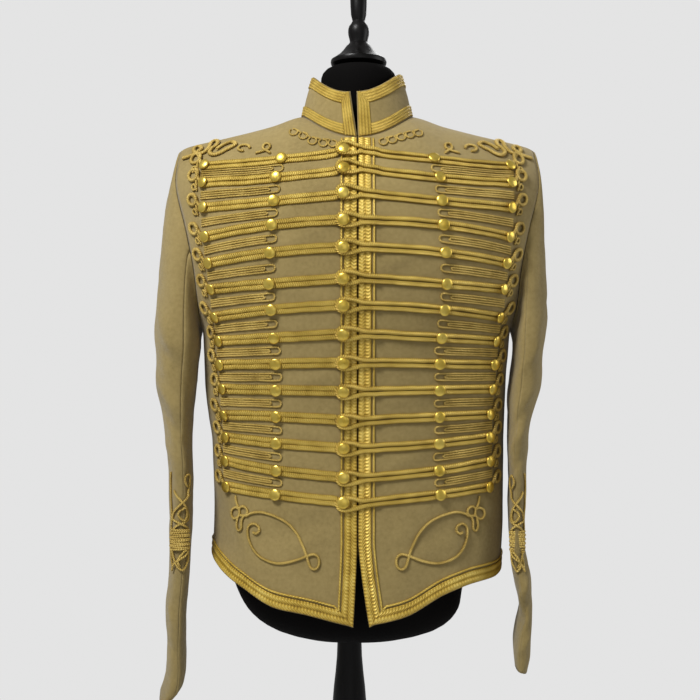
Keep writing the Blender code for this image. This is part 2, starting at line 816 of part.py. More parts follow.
def make_collar_laces(group):
    for name, (low, high) in COLLAR_BANDS.items():
        stops = [i / COLLAR_COLUMNS for i in range(1, COLLAR_COLUMNS)]
        stops = [COLLAR_BAND_START] + stops + [1.0 - COLLAR_BAND_START]
        stations = [((stop, low), (stop, high)) for stop in stops]
        rings = lace_rings(on_collar, stations, FLAT_PROFILE, "collar")
        loft(f"collar_lace_{name}", rings, "gold_braid", group)
    for side in SIDES:
        near, far = COLLAR_FRONT_FROM, COLLAR_FRONT_TO
        if side == "right":
            near, far = 1.0 - near, 1.0 - far
        stations = [((near, up), (far, up)) for up in COLLAR_FRONT_STOPS]
        rings = lace_rings(on_collar, stations, FLAT_PROFILE, "collar")
        loft(f"collar_lace_front_{side}", rings, "gold_braid", group)


# Sleeves: rings hang from the armhole points, so seams meet point to point
def sleeve_value(side, z, wanted):
    rows = tuple(reversed(SLEEVES[side]))
    return read(rows, SLEEVE_COLUMNS, "z", z, wanted)


# Column 0 is the underarm, the front columns count up to the shoulder tip and back down behind
def sleeve_ring_point(side, column, z):
    psi = math.radians(180.0 - 360.0 * column / SLEEVE_RING)
    outer = sleeve_value(side, z, "outer")
    inner = sleeve_value(side, z, "inner")
    middle = (outer + inner) / 2
    half = (outer - inner) / 2
    depth = sleeve_value(side, z, "half_depth")
    forward = depth * signed_power(math.sin(psi), 2 / SLEEVE_POWER)
    out = middle + half * signed_power(math.cos(psi), 2 / SLEEVE_POWER) - SLEEVE_TURNED_IN * forward
    return Vector((SIDES[side] * out, sleeve_value(side, z, "middle_y") - forward, z))


def armhole_point(side, column):
    column = column % SLEEVE_RING
    face = "front" if column <= ARMHOLE_ROWS else "back"
    index = column if column <= ARMHOLE_ROWS else SLEEVE_RING - column
    turn, z = armhole_spots(face)[index]
    point = surface(SIDES[side] * turn, z)
    if index in (0, ARMHOLE_ROWS):
        point.y = 0.0
    point.x += SIDES[side] * SEAM_GAP
    return point


def sleeve_point(side, column, row):
    first_z = SLEEVES[side][0][0]
    if row >= CAP_ROWS:
        return sleeve_ring_point(side, column, SLEEVES[side][row - CAP_ROWS][0])
    t = row / CAP_ROWS
    start = armhole_point(side, column)
    end = sleeve_ring_point(side, column, first_z)
    drop = (start.z - end.z) / (ARMHOLE[-1][1] - first_z)
    leave = Vector((SIDES[side], 0.0, CAP_START_SLOPE)) * CAP_START_LENGTH * mix(CAP_START_SHARE, 1.0, drop)
    arrive = Vector((0.0, 0.0, -1.0)) * mix(CAP_END_LEAST, CAP_END_LENGTH, drop)
    h00 = 2 * t ** 3 - 3 * t ** 2 + 1
    h10 = t ** 3 - 2 * t ** 2 + t
    h01 = -2 * t ** 3 + 3 * t ** 2
    h11 = t ** 3 - t ** 2
    return start * h00 + leave * h10 + end * h01 + arrive * h11


def sleeve_rows(side):
    return CAP_ROWS + len(SLEEVES[side])


def sleeve_normal(side, column, row):
    last = sleeve_rows(side) - 1
    along = sleeve_point(side, column + 1, row) - sleeve_point(side, column - 1, row)
    down = sleeve_point(side, column, min(row + 1, last)) - sleeve_point(side, column, max(row - 1, 0))
    normal = down.cross(along) * SIDES[side]
    if row == 0:
        normal.x = 0.0
    return normal.normalized()


def make_sleeves(group):
    for side in SIDES:
        spans = {
            "under": range(-UNDER_SLEEVE_COLUMNS, UNDER_SLEEVE_COLUMNS + 1),
            "upper": range(UNDER_SLEEVE_COLUMNS, SLEEVE_RING - UNDER_SLEEVE_COLUMNS + 1),
        }
        for name, span in spans.items():
            columns = list(span)
            outer = []
            inner = []
            for row in range(sleeve_rows(side)):
                line = [sleeve_point(side, column, row) for column in columns]
                normals = [sleeve_normal(side, column, row) for column in columns]
                first = (line[1] - line[0]).normalized() * SLEEVE_SEAM_GAP / 2
                last = (line[-2] - line[-1]).normalized() * SLEEVE_SEAM_GAP / 2
                line[0] = line[0] + first
                line[-1] = line[-1] + last
                outer.append(line)
                inner.append([p - n * CLOTH for p, n in zip(line, normals)])
            sleeve = wall(f"sleeve_{side}_{name}", outer, inner, "wool_cloth", group)
            SEATS[sleeve.name] = skin_tree([sleeve], "outer")


# Lace down the front edges and along the hem, stepped at the panels' own edge points
def hem_lace_edges(side, spots):
    edges = []
    for turn, z in spots:
        low = z + LACE_FROM_EDGE
        edges.append(((turn, low), (turn, low + LACE_WIDTH)))
    return edges


def make_laces(group):
    for side, sign in SIDES.items():
        grid = panel_spots(side, "front")
        stations = []
        for row in reversed(grid[1:]):
            z = min(row[0][1], NECK_FRONT_Z - LACE_BELOW_NECK)
            edge = front_edge_x(side, z)
            stations.append(((turn_of(edge, z), z), (turn_of(edge + sign * LACE_WIDTH, z), z)))
        bottom = hem_z(side, 0.0) + LACE_FROM_EDGE
        edge = front_edge_x(side, bottom)
        inner_z = bottom + LACE_WIDTH
        inner_x = front_edge_x(side, inner_z) + sign * LACE_WIDTH
        stations.append(((turn_of(edge, bottom), bottom), (turn_of(inner_x, inner_z), inner_z)))
        stations += hem_lace_edges(side, grid[0][1:-1] + [(sign * LACE_SIDE_TURN, grid[0][-1][1])])
        rings = lace_rings(on_panel, stations, LACE_PROFILE, "outer")
        loft(f"front_lace_{side}", rings, "gold_braid", group)

        back = panel_spots(side, "back")[0]
        ends = ((sign * (180.0 - LACE_SIDE_TURN), back[-1][1]), (sign * LACE_BACK_TURN, back[0][1]))
        stations = hem_lace_edges(side, [ends[0]] + back[-2:0:-1] + [ends[1]])
        rings = lace_rings(on_panel, stations, LACE_PROFILE, "outer")
        loft(f"hem_lace_back_{side}", rings, "gold_braid", group)


# Frogging bars with their buttons
def row_value(index, wanted):
    return ROWS[index][ROW_COLUMNS.index(wanted)]


# Height of a row at any distance from the middle: a curve through its three named heights
def row_z(index, x):
    middle = row_value(index, "mid_x")
    outer = row_value(index, "outer_x")
    t = abs(x)
    zs = [row_value(index, name) for name in ("centre_z", "mid_z", "outer_z")]
    xs = (0.0, middle, outer)
    total = 0.0
    for i in range(3):
        weight = 1.0
        for j in range(3):
            if i != j:
                weight *= (t - xs[j]) / (xs[i] - xs[j])
        total += zs[i] * weight
    return total


def bar_lift(x):
    share = (CLIMB_FROM_X - abs(x)) / (CLIMB_FROM_X - CLIMB_TO_X)
    return mix(TRIM_LIFT, OVER_LACE_LIFT, min(max(share, 0.0), 1.0))


def button_parts(x, z):
    turn = turn_of(x, z)
    base = on_panel(turn, z, bar_lift(x) + BUTTON_SUNK + BUTTON_SLACK)
    axis = surface_normal(turn, z)
    across = axis.cross(Vector((0.0, 0.0, 1.0))).normalized()
    other = axis.cross(across)
    rings = []
    for radius, height in BUTTON_RINGS:
        ring = []
        for k in range(BUTTON_SIDES):
            angle = 2 * math.pi * (k + 0.5) / BUTTON_SIDES
            out = across * math.cos(angle) + other * math.sin(angle)
            ring.append(base + out * BUTTON_RADIUS * radius + axis * BUTTON_HEIGHT * height)
        rings.append(ring)
    return loft_parts(rings)


def make_bars(group, cutters):
    for index in range(len(ROWS)):
        middle = row_value(index, "mid_x")
        outer = row_value(index, "outer_x")
        for side, sign in SIDES.items():
            stops = [outer + BAR_OVERHANG] + [mix(outer, middle, share) for share in BAR_SHARES]
            stops += [mix(middle, CLIMB_FROM_X, 0.5), CLIMB_FROM_X, CLIMB_TO_X]
            xs = [sign * stop for stop in stops] + [BAR_ENDS[side]]
            path = []
            for x in xs:
                z = row_z(index, x)
                path.append((turn_of(x, z), z))
            lifts = [bar_lift(x) for x in xs]
            rings = path_rings(on_panel, path, BAR_WIDTH, BAR_PROFILE, lifts, "outer")
            bar = loft(f"frog_{side}_{index + 1:02d}", rings, "gold_braid", group)
            buttons = [sign * outer, sign * middle]
            if side == "right":
                buttons.append(CENTRE_BUTTON_X)
            parts = [button_parts(x, row_z(index, x)) for x in buttons]
            points, faces = merge_parts(parts)
            name = f"cutter_buttons_{side}_{index + 1:02d}"
            join_solid(bar, place(name, points, faces, "gilt_button", cutters))


# Curl chain down each side with the short hairpin braids between the rows
def chain_spot(sign, index, share):
    nearer = min(index + 1, len(ROWS) - 1)
    x = mix(row_value(index, "outer_x"), row_value(nearer, "outer_x"), share) + CHAIN_OUT
    z = mix(row_value(index, "outer_z"), row_value(nearer, "outer_z"), share)
    return turn_of(sign * x, z), z


def make_side_braids(group, cutters):
    for side, sign in SIDES.items():
        path = []
        for index in range(len(ROWS) - 1):
            path += [chain_spot(sign, index, 0.0), chain_spot(sign, index, 0.5)]
        path.append(chain_spot(sign, len(ROWS) - 1, 0.0))
        turn, z = path[-1]
        path.append((turn, z - CHAIN_TAIL))
        lifts = [TRIM_LIFT] * len(path)
        rings = path_rings(on_panel, path, CHAIN_WIDTH, FLAT_PROFILE, lifts, "outer")
        chain = loft(f"side_braid_{side}", rings, "gold_braid", group)

        parts = []
        for index in range(len(ROWS) - 1):
            outer = mix(row_value(index, "outer_x"), row_value(index + 1, "outer_x"), 0.5)
            middle = mix(row_value(index, "mid_x"), row_value(index + 1, "mid_x"), 0.5)
            stops = [outer + HAIRPIN_TO_CHAIN] + [mix(outer, middle, share) for share in HAIRPIN_SHARES]
            stops.append(middle + HAIRPIN_FROM_BUTTON)
            path = []
            for x in stops:
                z = (row_z(index, x) + row_z(index + 1, x)) / 2
                path.append((turn_of(sign * x, z), z))
            lifts = [TRIM_LIFT + HAIRPIN_RAISED] * len(path)
            rings = path_rings(on_panel, path, HAIRPIN_WIDTH, CORD_PROFILE, lifts, "outer")
            parts.append(loft_parts(rings))
        points, faces = merge_parts(parts)
        join_solid(chain, place(f"cutter_hairpins_{side}", points, faces, "gold_braid", cutters))


# Leaf loop on each skirt
def make_skirt_loops(group):
    for side, sign in SIDES.items():
        start = Vector(LEAF_OUTER)
        end = Vector(LEAF_INNER)
        along = end - start
        across = Vector((-along.y, along.x)).normalized()
        path = []
        for bow in (-LEAF_BOW_UP, LEAF_BOW_DOWN):
            for k in range(LEAF_STEPS):
                t = k / LEAF_STEPS
                spot = start.lerp(end, t if bow < 0 else 1 - t)
                spot += across * bow * math.sin(math.pi * t)
                path.append((turn_of(sign * spot.x, spot.y), spot.y))
        lifts = [TRIM_LIFT] * len(path)
        rings = path_rings(on_panel, path, CORD_WIDTH, CORD_PROFILE, lifts, "outer", cyclic=True)
        loft(f"skirt_loop_{side}", rings, "gold_braid", group, cyclic=True)


# Knot above each cuff
def on_sleeve(side, psi, z, height):
    column = (180.0 - psi) * SLEEVE_RING / 360.0
    here = sleeve_ring_point(side, column, z)
    after = sleeve_ring_point(side, column + SLEEVE_COLUMN_STEP, z)
    before = sleeve_ring_point(side, column - SLEEVE_COLUMN_STEP, z)
    below = sleeve_ring_point(side, column, z - SLEEVE_HEIGHT_STEP)
    above = sleeve_ring_point(side, column, z + SLEEVE_HEIGHT_STEP)
    along = after - before
    down = below - above
    normal = (down.cross(along) * SIDES[side]).normalized()
    return here + normal * height


def make_cuff_knots(group):
    for side in SIDES:
        def at(psi, z, height):
            return on_sleeve(side, psi, z, height)

        path = []
        for k in range(KNOT_STEPS):
            angle = 2 * math.pi * k / KNOT_STEPS
            reach = KNOT_REACH + (1 - KNOT_REACH) * math.cos(KNOT_LOBES * angle)
            z = KNOT_MIDDLE_Z[side] + KNOT_HALF_HEIGHT * reach * math.cos(angle)
            degrees = math.degrees(KNOT_HALF_WIDTH * reach * math.sin(angle) / KNOT_HALF_HEIGHT)
            path.append((KNOT_TURN + degrees, z))
        lifts = [TRIM_LIFT] * len(path)
        rings = path_rings(at, path, CORD_WIDTH, CORD_PROFILE, lifts, f"sleeve_{side}_upper", cyclic=True)
        loft(f"cuff_knot_{side}", rings, "gold_braid", group, cyclic=True)


# Scroll band below each shoulder seam
def make_shoulder_scrolls(group):
    for side, sign in SIDES.items():
        path = []
        for k in range(SCROLL_STEPS + 1):
            x = mix(SCROLL_FROM_X, SCROLL_TO_X, k / SCROLL_STEPS)
            z = ridge(x) - SCROLL_BELOW_RIDGE
            path.append((turn_of(sign * x, z), z))
        lifts = [TRIM_LIFT] * len(path)
        rings = path_rings(on_panel, path, SCROLL_WIDTH, CORD_PROFILE, lifts, "outer")
        loft(f"shoulder_scroll_{side}", rings, "gold_braid", group)


# Dress form: level rings just inside the jacket, cut off flat at the armholes
def form_half_width(side, z):
    shares = [k / FORM_ARMHOLE_SAMPLES for k in range(FORM_ARMHOLE_SAMPLES + 1)]
    by_z = [(read(ARMHOLE, ARMHOLE_COLUMNS, "share", s, "z"), s) for s in shares]
    if z <= by_z[0][0]:
        return body(z, side) - CLOTH - FORM_CLEAR
    share = min(by_z, key=lambda pair: abs(pair[0] - z))[1]
    turn = read(ARMHOLE, ARMHOLE_COLUMNS, "share", share, "turn")
    limit = abs(surface(turn, min(z, ARMHOLE[-1][1])).x) - FORM_END_CLEAR
    steps = [FORM_WIDTH_STEP * k for k in range(int(FORM_WIDEST / FORM_WIDTH_STEP))]
    under_ridge = max(x for x in steps if ridge(x) > z + FORM_RIDGE_CLEAR)
    return min(limit, under_ridge)


def inside_jacket(turn, z):
    x = surface(turn, z).x
    back = abs(turn) > 90.0
    edge = neck_z(x, "back" if back else "front") - FORM_BELOW_NECK
    if abs(x) < NECK_HALF_WIDTH and z > edge:
        point = inside_jacket(turn_of(x, edge, back), edge)
        depth = abs(point.y) - FORM_NECK_LEAN * (z - edge)
        return Vector((point.x, math.copysign(depth, point.y), z))
    point = on_body(turn, z, -CLOTH)
    if z > FORM_SEATED_FROM:
        point = SEATS["inner"].find_nearest(point)[0]
    clear = FORM_CLEAR if z < FORM_ROLL_FROM else FORM_ROLL_CLEAR
    return point - surface_normal(turn, z) * clear


def make_form_torso(group):
    rings = []
    for z in FORM_LEVELS:
        fits = {side: read(FORM_FIT, FORM_COLUMNS, "z", z, side) for side in SIDES}
        first, last = (turn_of(sign * form_half_width(side, z), z) for side, sign in SIDES.items())
        turns = [mix(first, last, k / FORM_HALF_POINTS) for k in range(FORM_HALF_POINTS + 1)]
        backs = [math.copysign(180.0 - abs(turn), turn or 1.0) for turn in reversed(turns)]
        ring = [inside_jacket(turn, z) for turn in turns + backs]
        aside = FORM_ASIDE * (1 - fits["right"])
        rings.append([Vector((p.x * fits[side_of(p.x)] + aside, p.y * fits["right"], p.z)) for p in ring])
    rings.append([Vector((p.x * FORM_TOP_SHARE, p.y * FORM_TOP_SHARE, FORM_TOP)) for p in rings[-1]])
    loft("form_torso", rings, "form_cover", group)


def turned(name, profile, x, y, finish, group):
    mesh = bpy.data.meshes.new(name)
    points = [(radius, 0.0, z) for radius, z in profile]
    mesh.from_pydata(points, [(k, k + 1) for k in range(len(points) - 1)], [])
    mesh.materials.append(material(finish))
    made = bpy.data.objects.new(name, mesh)
    made.location = (x - BOX_MIDDLE_X, y - BOX_MIDDLE_Y, 0.0)
    group.objects.link(made)
    screw = made.modifiers.new("turned", "SCREW")
    screw.steps = TURNED_STEPS
    screw.render_steps = TURNED_STEPS
    screw.use_merge_vertices = True
    screw.merge_threshold = MERGE_WITHIN
    return made


def main():
    for old in list(bpy.data.objects):
        bpy.data.objects.remove(old)
    group = collection("hussar_jacket_on_form")
    cutters = collection("cutters")
    turned("form_neck", NECK_PROFILE, FINIAL_X, NECK_Y, "form_cover", group)
    turned("finial", FINIAL_PROFILE, FINIAL_X, NECK_Y, "black_wood", group)
    turned("pole", POLE_PROFILE, POLE_X, 0.0, "black_wood", group)
    turned("stand_base", BASE_PROFILE, POLE_X, 0.0, "black_wood", group)
    make_panels(group)
    make_form_torso(group)
    make_collar(group)
    make_collar_laces(group)
    make_sleeves(group)
    make_laces(group)
    make_bars(group, cutters)
    make_side_braids(group, cutters)
    make_skirt_loops(group)
    make_cuff_knots(group)
    make_shoulder_scrolls(group)


main()
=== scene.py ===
# Hussar jacket on a black dress form: its cloth, braid, buttons and light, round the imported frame.
# Metres. The front faces -Y and +X is the wearer's left. Tables inside metres(...) are in millimetres.
import math
import random
from functools import lru_cache
from itertools import chain

import bpy
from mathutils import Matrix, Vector, noise
from mathutils.bvhtree import BVHTree


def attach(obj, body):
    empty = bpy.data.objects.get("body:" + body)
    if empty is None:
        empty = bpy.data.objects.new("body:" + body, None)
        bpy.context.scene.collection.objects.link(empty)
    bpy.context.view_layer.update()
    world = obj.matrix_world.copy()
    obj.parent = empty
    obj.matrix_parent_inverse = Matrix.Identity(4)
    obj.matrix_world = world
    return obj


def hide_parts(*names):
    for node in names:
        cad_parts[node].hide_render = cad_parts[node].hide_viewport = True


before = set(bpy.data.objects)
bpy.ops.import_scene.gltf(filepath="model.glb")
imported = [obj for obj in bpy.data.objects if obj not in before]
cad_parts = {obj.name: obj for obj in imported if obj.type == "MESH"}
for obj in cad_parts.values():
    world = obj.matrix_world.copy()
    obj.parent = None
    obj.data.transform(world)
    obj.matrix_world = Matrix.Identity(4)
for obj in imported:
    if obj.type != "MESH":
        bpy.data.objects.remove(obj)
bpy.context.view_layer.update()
random.seed(14)
print("frame loaded with", len(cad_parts), "nodes")

sides = {"right": -1.0, "left": 1.0}


def metres(value):
    return tuple(metres(v) for v in value) if isinstance(value, tuple) else value / 1000


# the jacket's own shape, as its solids have it
cut = {
    "middleX": 0.0092,  # the front edges meet on this line
    "seamGap": 0.0003,
    "ovalPower": 2.3,
    "rollPower": 2.2,  # how the shoulders roll over
    "rollDrop": 0.16,
    "neckHalfWidth": 0.072,
    "neckZ": {"front": 1.411, "side": 1.4505, "back": 1.4355},
    "frontSlit": 0.0006,
    "frontPartsAt": 0.918,  # below this height the front edges fall apart
    "frontParts": {"right": 0.0048, "left": 0.013},
    "shellThick": 0.0016,
}
bodyRows = metres((  # height, half width on the wearer's right and left, depth to the front and to the back
    (760, 190, 190, 126, 122), (820, 190, 190, 125, 122), (870, 189.5, 187, 122, 116),
    (940, 187, 190, 116, 106), (1030, 189, 191, 112, 101), (1060, 193.5, 192, 113, 102),
    (1100, 198, 193.5, 116, 106), (1150, 200, 197, 122, 112), (1175, 202, 200, 126, 115),
    (1205, 212, 212, 130, 118), (1260, 225.5, 225.5, 133, 122), (1305, 236, 236, 132, 122),
    (1360, 249, 249, 127, 118), (1400, 246.5, 246.5, 121, 112), (1450, 243, 243, 114, 106),
))
ridgeRows = metres((  # distance from the middle, height of the shoulder line
    (0, 1452.5), (72, 1450.5), (112, 1437.8), (170, 1423.8), (216, 1414), (231, 1408), (260, 1385),
))
armholeRows = (  # share of its length, height, turn
    (0, 1.175, 90), (0.11, 1.18, 80), (0.25, 1.205, 71.5), (0.4, 1.245, 66), (0.55, 1.287, 65),
    (0.7, 1.329, 66), (0.85, 1.371, 67), (1, 1.408, 68),
)
hemRows = (  # turn, height on the wearer's right and left
    (0, 0.819, 0.819), (15, 0.832, 0.831), (30, 0.8395, 0.853), (45, 0.8575, 0.8625), (70, 0.8775, 0.8635),
    (90, 0.884, 0.868), (130, 0.879, 0.874), (180, 0.875, 0.875),
)
sleeveRows = {  # height, outer edge, inner edge, fore-and-aft middle, half depth
    "right": metres((
        (708, 252, 230, -37, 55), (720, 248.5, 221.5, -36, 56), (738, 245, 218.5, -35, 56),
        (770, 244, 219.5, -32, 58), (820, 246, 219, -27, 61), (870, 243, 216, -21, 65),
        (925, 244.5, 214.5, -14, 69), (980, 245.5, 214.5, -7, 72), (1032, 250, 216.5, -2, 75),
        (1070, 258, 214.5, 1, 78), (1105, 263.5, 210.5, 3, 80), (1150, 264, 206, 4, 82),
    )),
    "left": metres((
        (746, 218, 201, -35, 56), (765, 222, 200, -34, 57), (790, 223, 203, -32, 59),
        (820, 225, 208, -29, 61), (850, 224, 203.5, -25, 63), (880, 218.5, 198.5, -21, 65),
        (925, 218, 197, -14, 69), (980, 221, 198, -7, 72), (1032, 223, 197.5, -2, 75),
        (1070, 231.5, 198, 1, 78), (1105, 242, 200, 3, 80), (1150, 244.5, 205, 4, 82),
    )),
}
frogRows = metres((  # height at the front edge, middle button, outer button; distance of those two buttons
    (1392, 1381, 1378, 92, 190), (1368, 1357, 1355, 98, 189), (1337, 1328, 1324, 100, 188),
    (1304, 1299, 1288, 102, 185), (1272, 1266, 1256, 104, 181), (1236, 1229, 1224, 105, 178),
    (1203.5, 1198, 1190, 103, 174), (1170, 1164.5, 1160, 100, 170), (1135, 1133, 1130.5, 98, 168),
    (1100, 1101, 1100.5, 98, 165), (1064, 1068.5, 1068.5, 98, 163), (1031, 1036, 1040, 98, 162),
    (995.5, 1003, 1010, 98, 163), (965, 974, 978, 99, 162),
))


def mix(a, b, t):
    return a + (b - a) * t


# even steps from a to b, with both ends
def steps(a, b, count):
    return [mix(a, b, k / count) for k in range(count + 1)]


def clamp(value, low=0.0, high=1.0):
    return min(max(value, low), high)


def smooth(t):
    t = clamp(t)
    return t * t * (3 - 2 * t)


def bell(distance, reach, power=2):
    return math.exp(-(distance / reach) ** power)


def signedPower(value, power):
    return math.copysign(abs(value) ** power, value)


# from a to b, with the slopes it leaves and arrives with
def hermite(a, b, leave, arrive, t):
    return (
        a * (2 * t ** 3 - 3 * t ** 2 + 1) + leave * (t ** 3 - 2 * t ** 2 + t)
        + b * (3 * t ** 2 - 2 * t ** 3) + arrive * (t ** 3 - t ** 2)
    )


# a smooth curve through a table's rows, read at a key
def readRows(rows, key, column):
    last = len(rows) - 1
    key = clamp(key, rows[0][0], rows[last][0])
    i = max(k for k in range(last) if rows[k][0] <= key)
    span = rows[i + 1][0] - rows[i][0]
    slopes = []
    for k in (i, i + 1):
        before, after = rows[max(k - 1, 0)], rows[min(k + 1, last)]
        slopes.append(span * (after[column] - before[column]) / (after[0] - before[0]))
    return hermite(rows[i][column], rows[i + 1][column], *slopes, (key - rows[i][0]) / span)


@lru_cache(maxsize=None)
def bodyAt(z):
    return [readRows(bodyRows, z, column) for column in (1, 2, 3, 4)]


def halfWidthAt(value, z):
    return bodyAt(z)[1 if value >= 0 else 0]


@lru_cache(maxsize=None)
def ridgeAt(x):
    return readRows(ridgeRows, abs(x), 1)


# the jacket's outer surface: turn is 0 at centre front, 90 at the side, 180 at centre back
def surface(turn, z):
    angle = math.radians(turn)
    front = abs(turn) <= 90.0
    x = halfWidthAt(turn, z) * signedPower(math.sin(angle), 2 / cut["ovalPower"])
    share = clamp((ridgeAt(x) - z) / cut["rollDrop"])
    roll = (1 - (1 - share) ** cut["rollPower"]) ** (1 / cut["rollPower"])
    across = abs(math.cos(angle)) ** (2 / cut["ovalPower"])
    y = cut["seamGap"] / 2 + bodyAt(z)[2 if front else 3] * across * roll
    return Vector((x, -y if front else y, z))


def turnOf(x, z, back=False):
    share = min(abs(x) / halfWidthAt(x, z), 1.0)
    turn = math.degrees(math.asin(share ** (cut["ovalPower"] / 2)))
    return math.copysign(180.0 - turn if back else turn, x)


def bodySpot(x, z):
    return surface(turnOf(x, z), z)


probe = {"turn": 0.3, "height": 0.0008}  # how far each way a slope is measured
justBehind = 90.001  # degrees, the first turn that counts as the back


def surfaceNormal(turn, z):
    reach, rise = probe["turn"], probe["height"]
    if abs(turn) <= 90.0:
        a, b = max(turn - reach, -90.0), min(turn + reach, 90.0)
    else:
        a, b = sorted(math.copysign(clamp(abs(turn) + d, justBehind, 180.0), turn) for d in (-reach, reach))
    up = surface(turn, z + rise) - surface(turn, z - rise)
    normal = (surface(b, z) - surface(a, z)).cross(up)
    if abs(surface(turn, z).y) < cut["seamGap"]:
        normal.y = 0.0
    return normal.normalized()


# near the shoulder line heights are spread so that even steps follow the roll
def unroll(x, z):
    share = (ridgeAt(x) - z) / cut["rollDrop"]
    if share >= 1.0:
        return z
    even = 1.0 - math.asin((1.0 - max(share, 0.0)) ** (cut["rollPower"] / 2)) / (math.pi / 2)
    return ridgeAt(x) - cut["rollDrop"] * even


def reroll(turn, evenZ):
    z = evenZ
    for _ in range(6):
        ridge = ridgeAt(abs(surface(turn, z).x))
        even = (ridge - evenZ) / cut["rollDrop"]
        if even >= 1.0:
            return evenZ
        share = 1.0 - math.sin(math.pi / 2 * (1.0 - max(even, 0.0))) ** (2 / cut["rollPower"])
        z = ridge - cut["rollDrop"] * share
    return z


def frontEdgeX(side, z):
    fall = max(cut["frontPartsAt"] - z, 0.0) / (cut["frontPartsAt"] - hemRows[0][1])
    return sides[side] * (cut["frontSlit"] + cut["frontParts"][side] * fall ** 1.3)


def hemZ(side, turn):
    return readRows(hemRows, abs(turn), 1 if side == "right" else 2)


def neckZ(x, face):
    low = cut["neckZ"][face]
    return low + (cut["neckZ"]["side"] - low) * (x / cut["neckHalfWidth"]) ** 2


def neckSpot(degrees, face):
    x = cut["neckHalfWidth"] * math.sin(math.radians(degrees))
    return x, neckZ(x, face)


# mesh parts: points, faces and a place in the weave for each point
def newPart():
    return {"points": [], "faces": [], "uvs": []}


def addGrid(part, rows, uvRows, ring=False, caps=False, flip=False):
    start, count = len(part["points"]), len(rows[0])
    last = start + (len(rows) - 1) * count
    part["points"] += chain.from_iterable(rows)
    part["uvs"] += chain.from_iterable(uvRows)
    faces = []
    for here in range(start, last, count):
        for i in range(count if ring else count - 1):
            k = (i + 1) % count
            faces.append((here + i, here + k, here + count + k, here + count + i))
    if caps:
        faces += [tuple(range(start, start + count))[::-1], tuple(range(last, last + count))]
    part["faces"] += [face[::-1] for face in faces] if flip else faces


# a piece named for the node that it replaces
def makePiece(node, kind, part, look, replaces=True, creaseAngle=None):
    name = f"{node}_{kind}"
    mesh = bpy.data.meshes.new(name)
    mesh.from_pydata([tuple(p) for p in part["points"]], [], part["faces"])
    layer = mesh.uv_layers.new(name="weave")
    for loop in mesh.loops:
        layer.data[loop.index].uv = part["uvs"][loop.vertex_index]
    mesh.materials.append(look.made)
    mesh.shade_smooth()
    if creaseAngle:
        mesh.set_sharp_from_angle(angle=math.radians(creaseAngle))
    piece = bpy.data.objects.new(name, mesh)
    piece.location = (cut["middleX"], 0.0, 0.0)
    bpy.context.scene.collection.objects.link(piece)
    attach(piece, "root")
    if replaces:
        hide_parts(node)
    return piece


def addNode(tree, kind, inputs, **settings):
    made = tree.nodes.new(kind)
    for key, value in settings.items():
        setattr(made, key, value)
    for key, value in inputs.items():
        if isinstance(value, bpy.types.NodeSocket):
            tree.links.new(value, made.inputs[key])
        else:
            made.inputs[key].default_value = value
    return made


# a material, the name of its slot, and the steps that build its nodes
class Look:
    def __init__(self, name, slot, roughness, metallic=0.0, shine=0.5):
        self.slot = slot
        self.made = bpy.data.materials.new(name)
        self.made.use_nodes = True
        self.tree = self.made.node_tree
        self.shader = self.tree.nodes["Principled BSDF"]
        self.place = self.add("TexCoord").outputs["Object"]
        self.set({"Roughness": roughness, "Metallic": metallic, "Specular IOR Level": shine})

    def set(self, values):
        for key, value in values.items():
            self.shader.inputs[key].default_value = value

    def link(self, outputs):
        for key, output in outputs.items():
            self.tree.links.new(output, self.shader.inputs[key])

    def add(self, kind, inputs=None, **settings):
        return addNode(self.tree, "ShaderNode" + kind, inputs or {}, **settings)

    def math(self, operation, *values):
        return self.add("Math", dict(enumerate(values)), operation=operation).outputs[0]

    def total(self, *terms, start=0.0):
        for value, weight in terms:
            start = self.math("MULTIPLY_ADD", value, weight, start)
        return start

    def wave(self, *terms):
        return self.math("SINE", self.total(*terms))

    def noise(self, scale, detail, roughness, vector=None):
        inputs = {"Vector": vector or self.place, "Scale": scale, "Detail": detail, "Roughness": roughness}
        return self.add("TexNoise", inputs).outputs["Fac"]

    def weave(self):
        parts = self.add("SeparateXYZ", {0: self.add("UVMap", uv_map="weave").outputs["UV"]})
        return parts.outputs["X"], parts.outputs["Y"]

    def ramp(self, factor, *stops):
        made = self.add("ValToRGB", {"Fac": factor})
        elements = made.color_ramp.elements
        while len(elements) < len(stops):
            elements.new(0.5)
        for element, (position, colour) in zip(elements, stops):
            element.position = position
            element.color = (*colour, 1.0)
        return made.outputs["Color"]

    def bump(self, height, strength, distance, normal=None):
        inputs = {"Height": height, "Strength": strength, "Distance": distance}
        if normal:
            inputs["Normal"] = normal
        return self.add("Bump", inputs).outputs["Normal"]


twill = {"pitch": 0.0011, "slope": 1.6}


def makeCloth():
    look = Look("khakiTwill", "wool_cloth", 0.92, shine=0.22)
    across, along = look.weave()
    turns = 2 * math.pi / twill["pitch"]
    slanted = look.wave((across, turns / twill["slope"]), (along, turns))
    weave = look.total((look.wave((along, turns)), 0.35), (slanted, 1.0))
    heather = look.noise(210.0, 3.0, 0.65)
    cloudy = look.noise(9.0, 3.0, 0.5)
    tone = look.total((cloudy, 0.40), (heather, 0.42), (weave, 0.045))
    fine = look.bump(look.total((weave, 0.35), (look.noise(900.0, 3.0, 0.7), 1.0)), 0.55, 0.00022)
    look.link({
        "Base Color": look.ramp(
            tone, (0.20, (0.235, 0.172, 0.060)), (0.41, (0.318, 0.238, 0.090)), (0.62, (0.395, 0.298, 0.118)),
        ),
        "Normal": look.bump(look.noise(60.0, 2.0, 0.5), 0.35, 0.0016, fine),
    })
    look.set({"Sheen Weight": 0.18, "Sheen Roughness": 0.5})
    return look
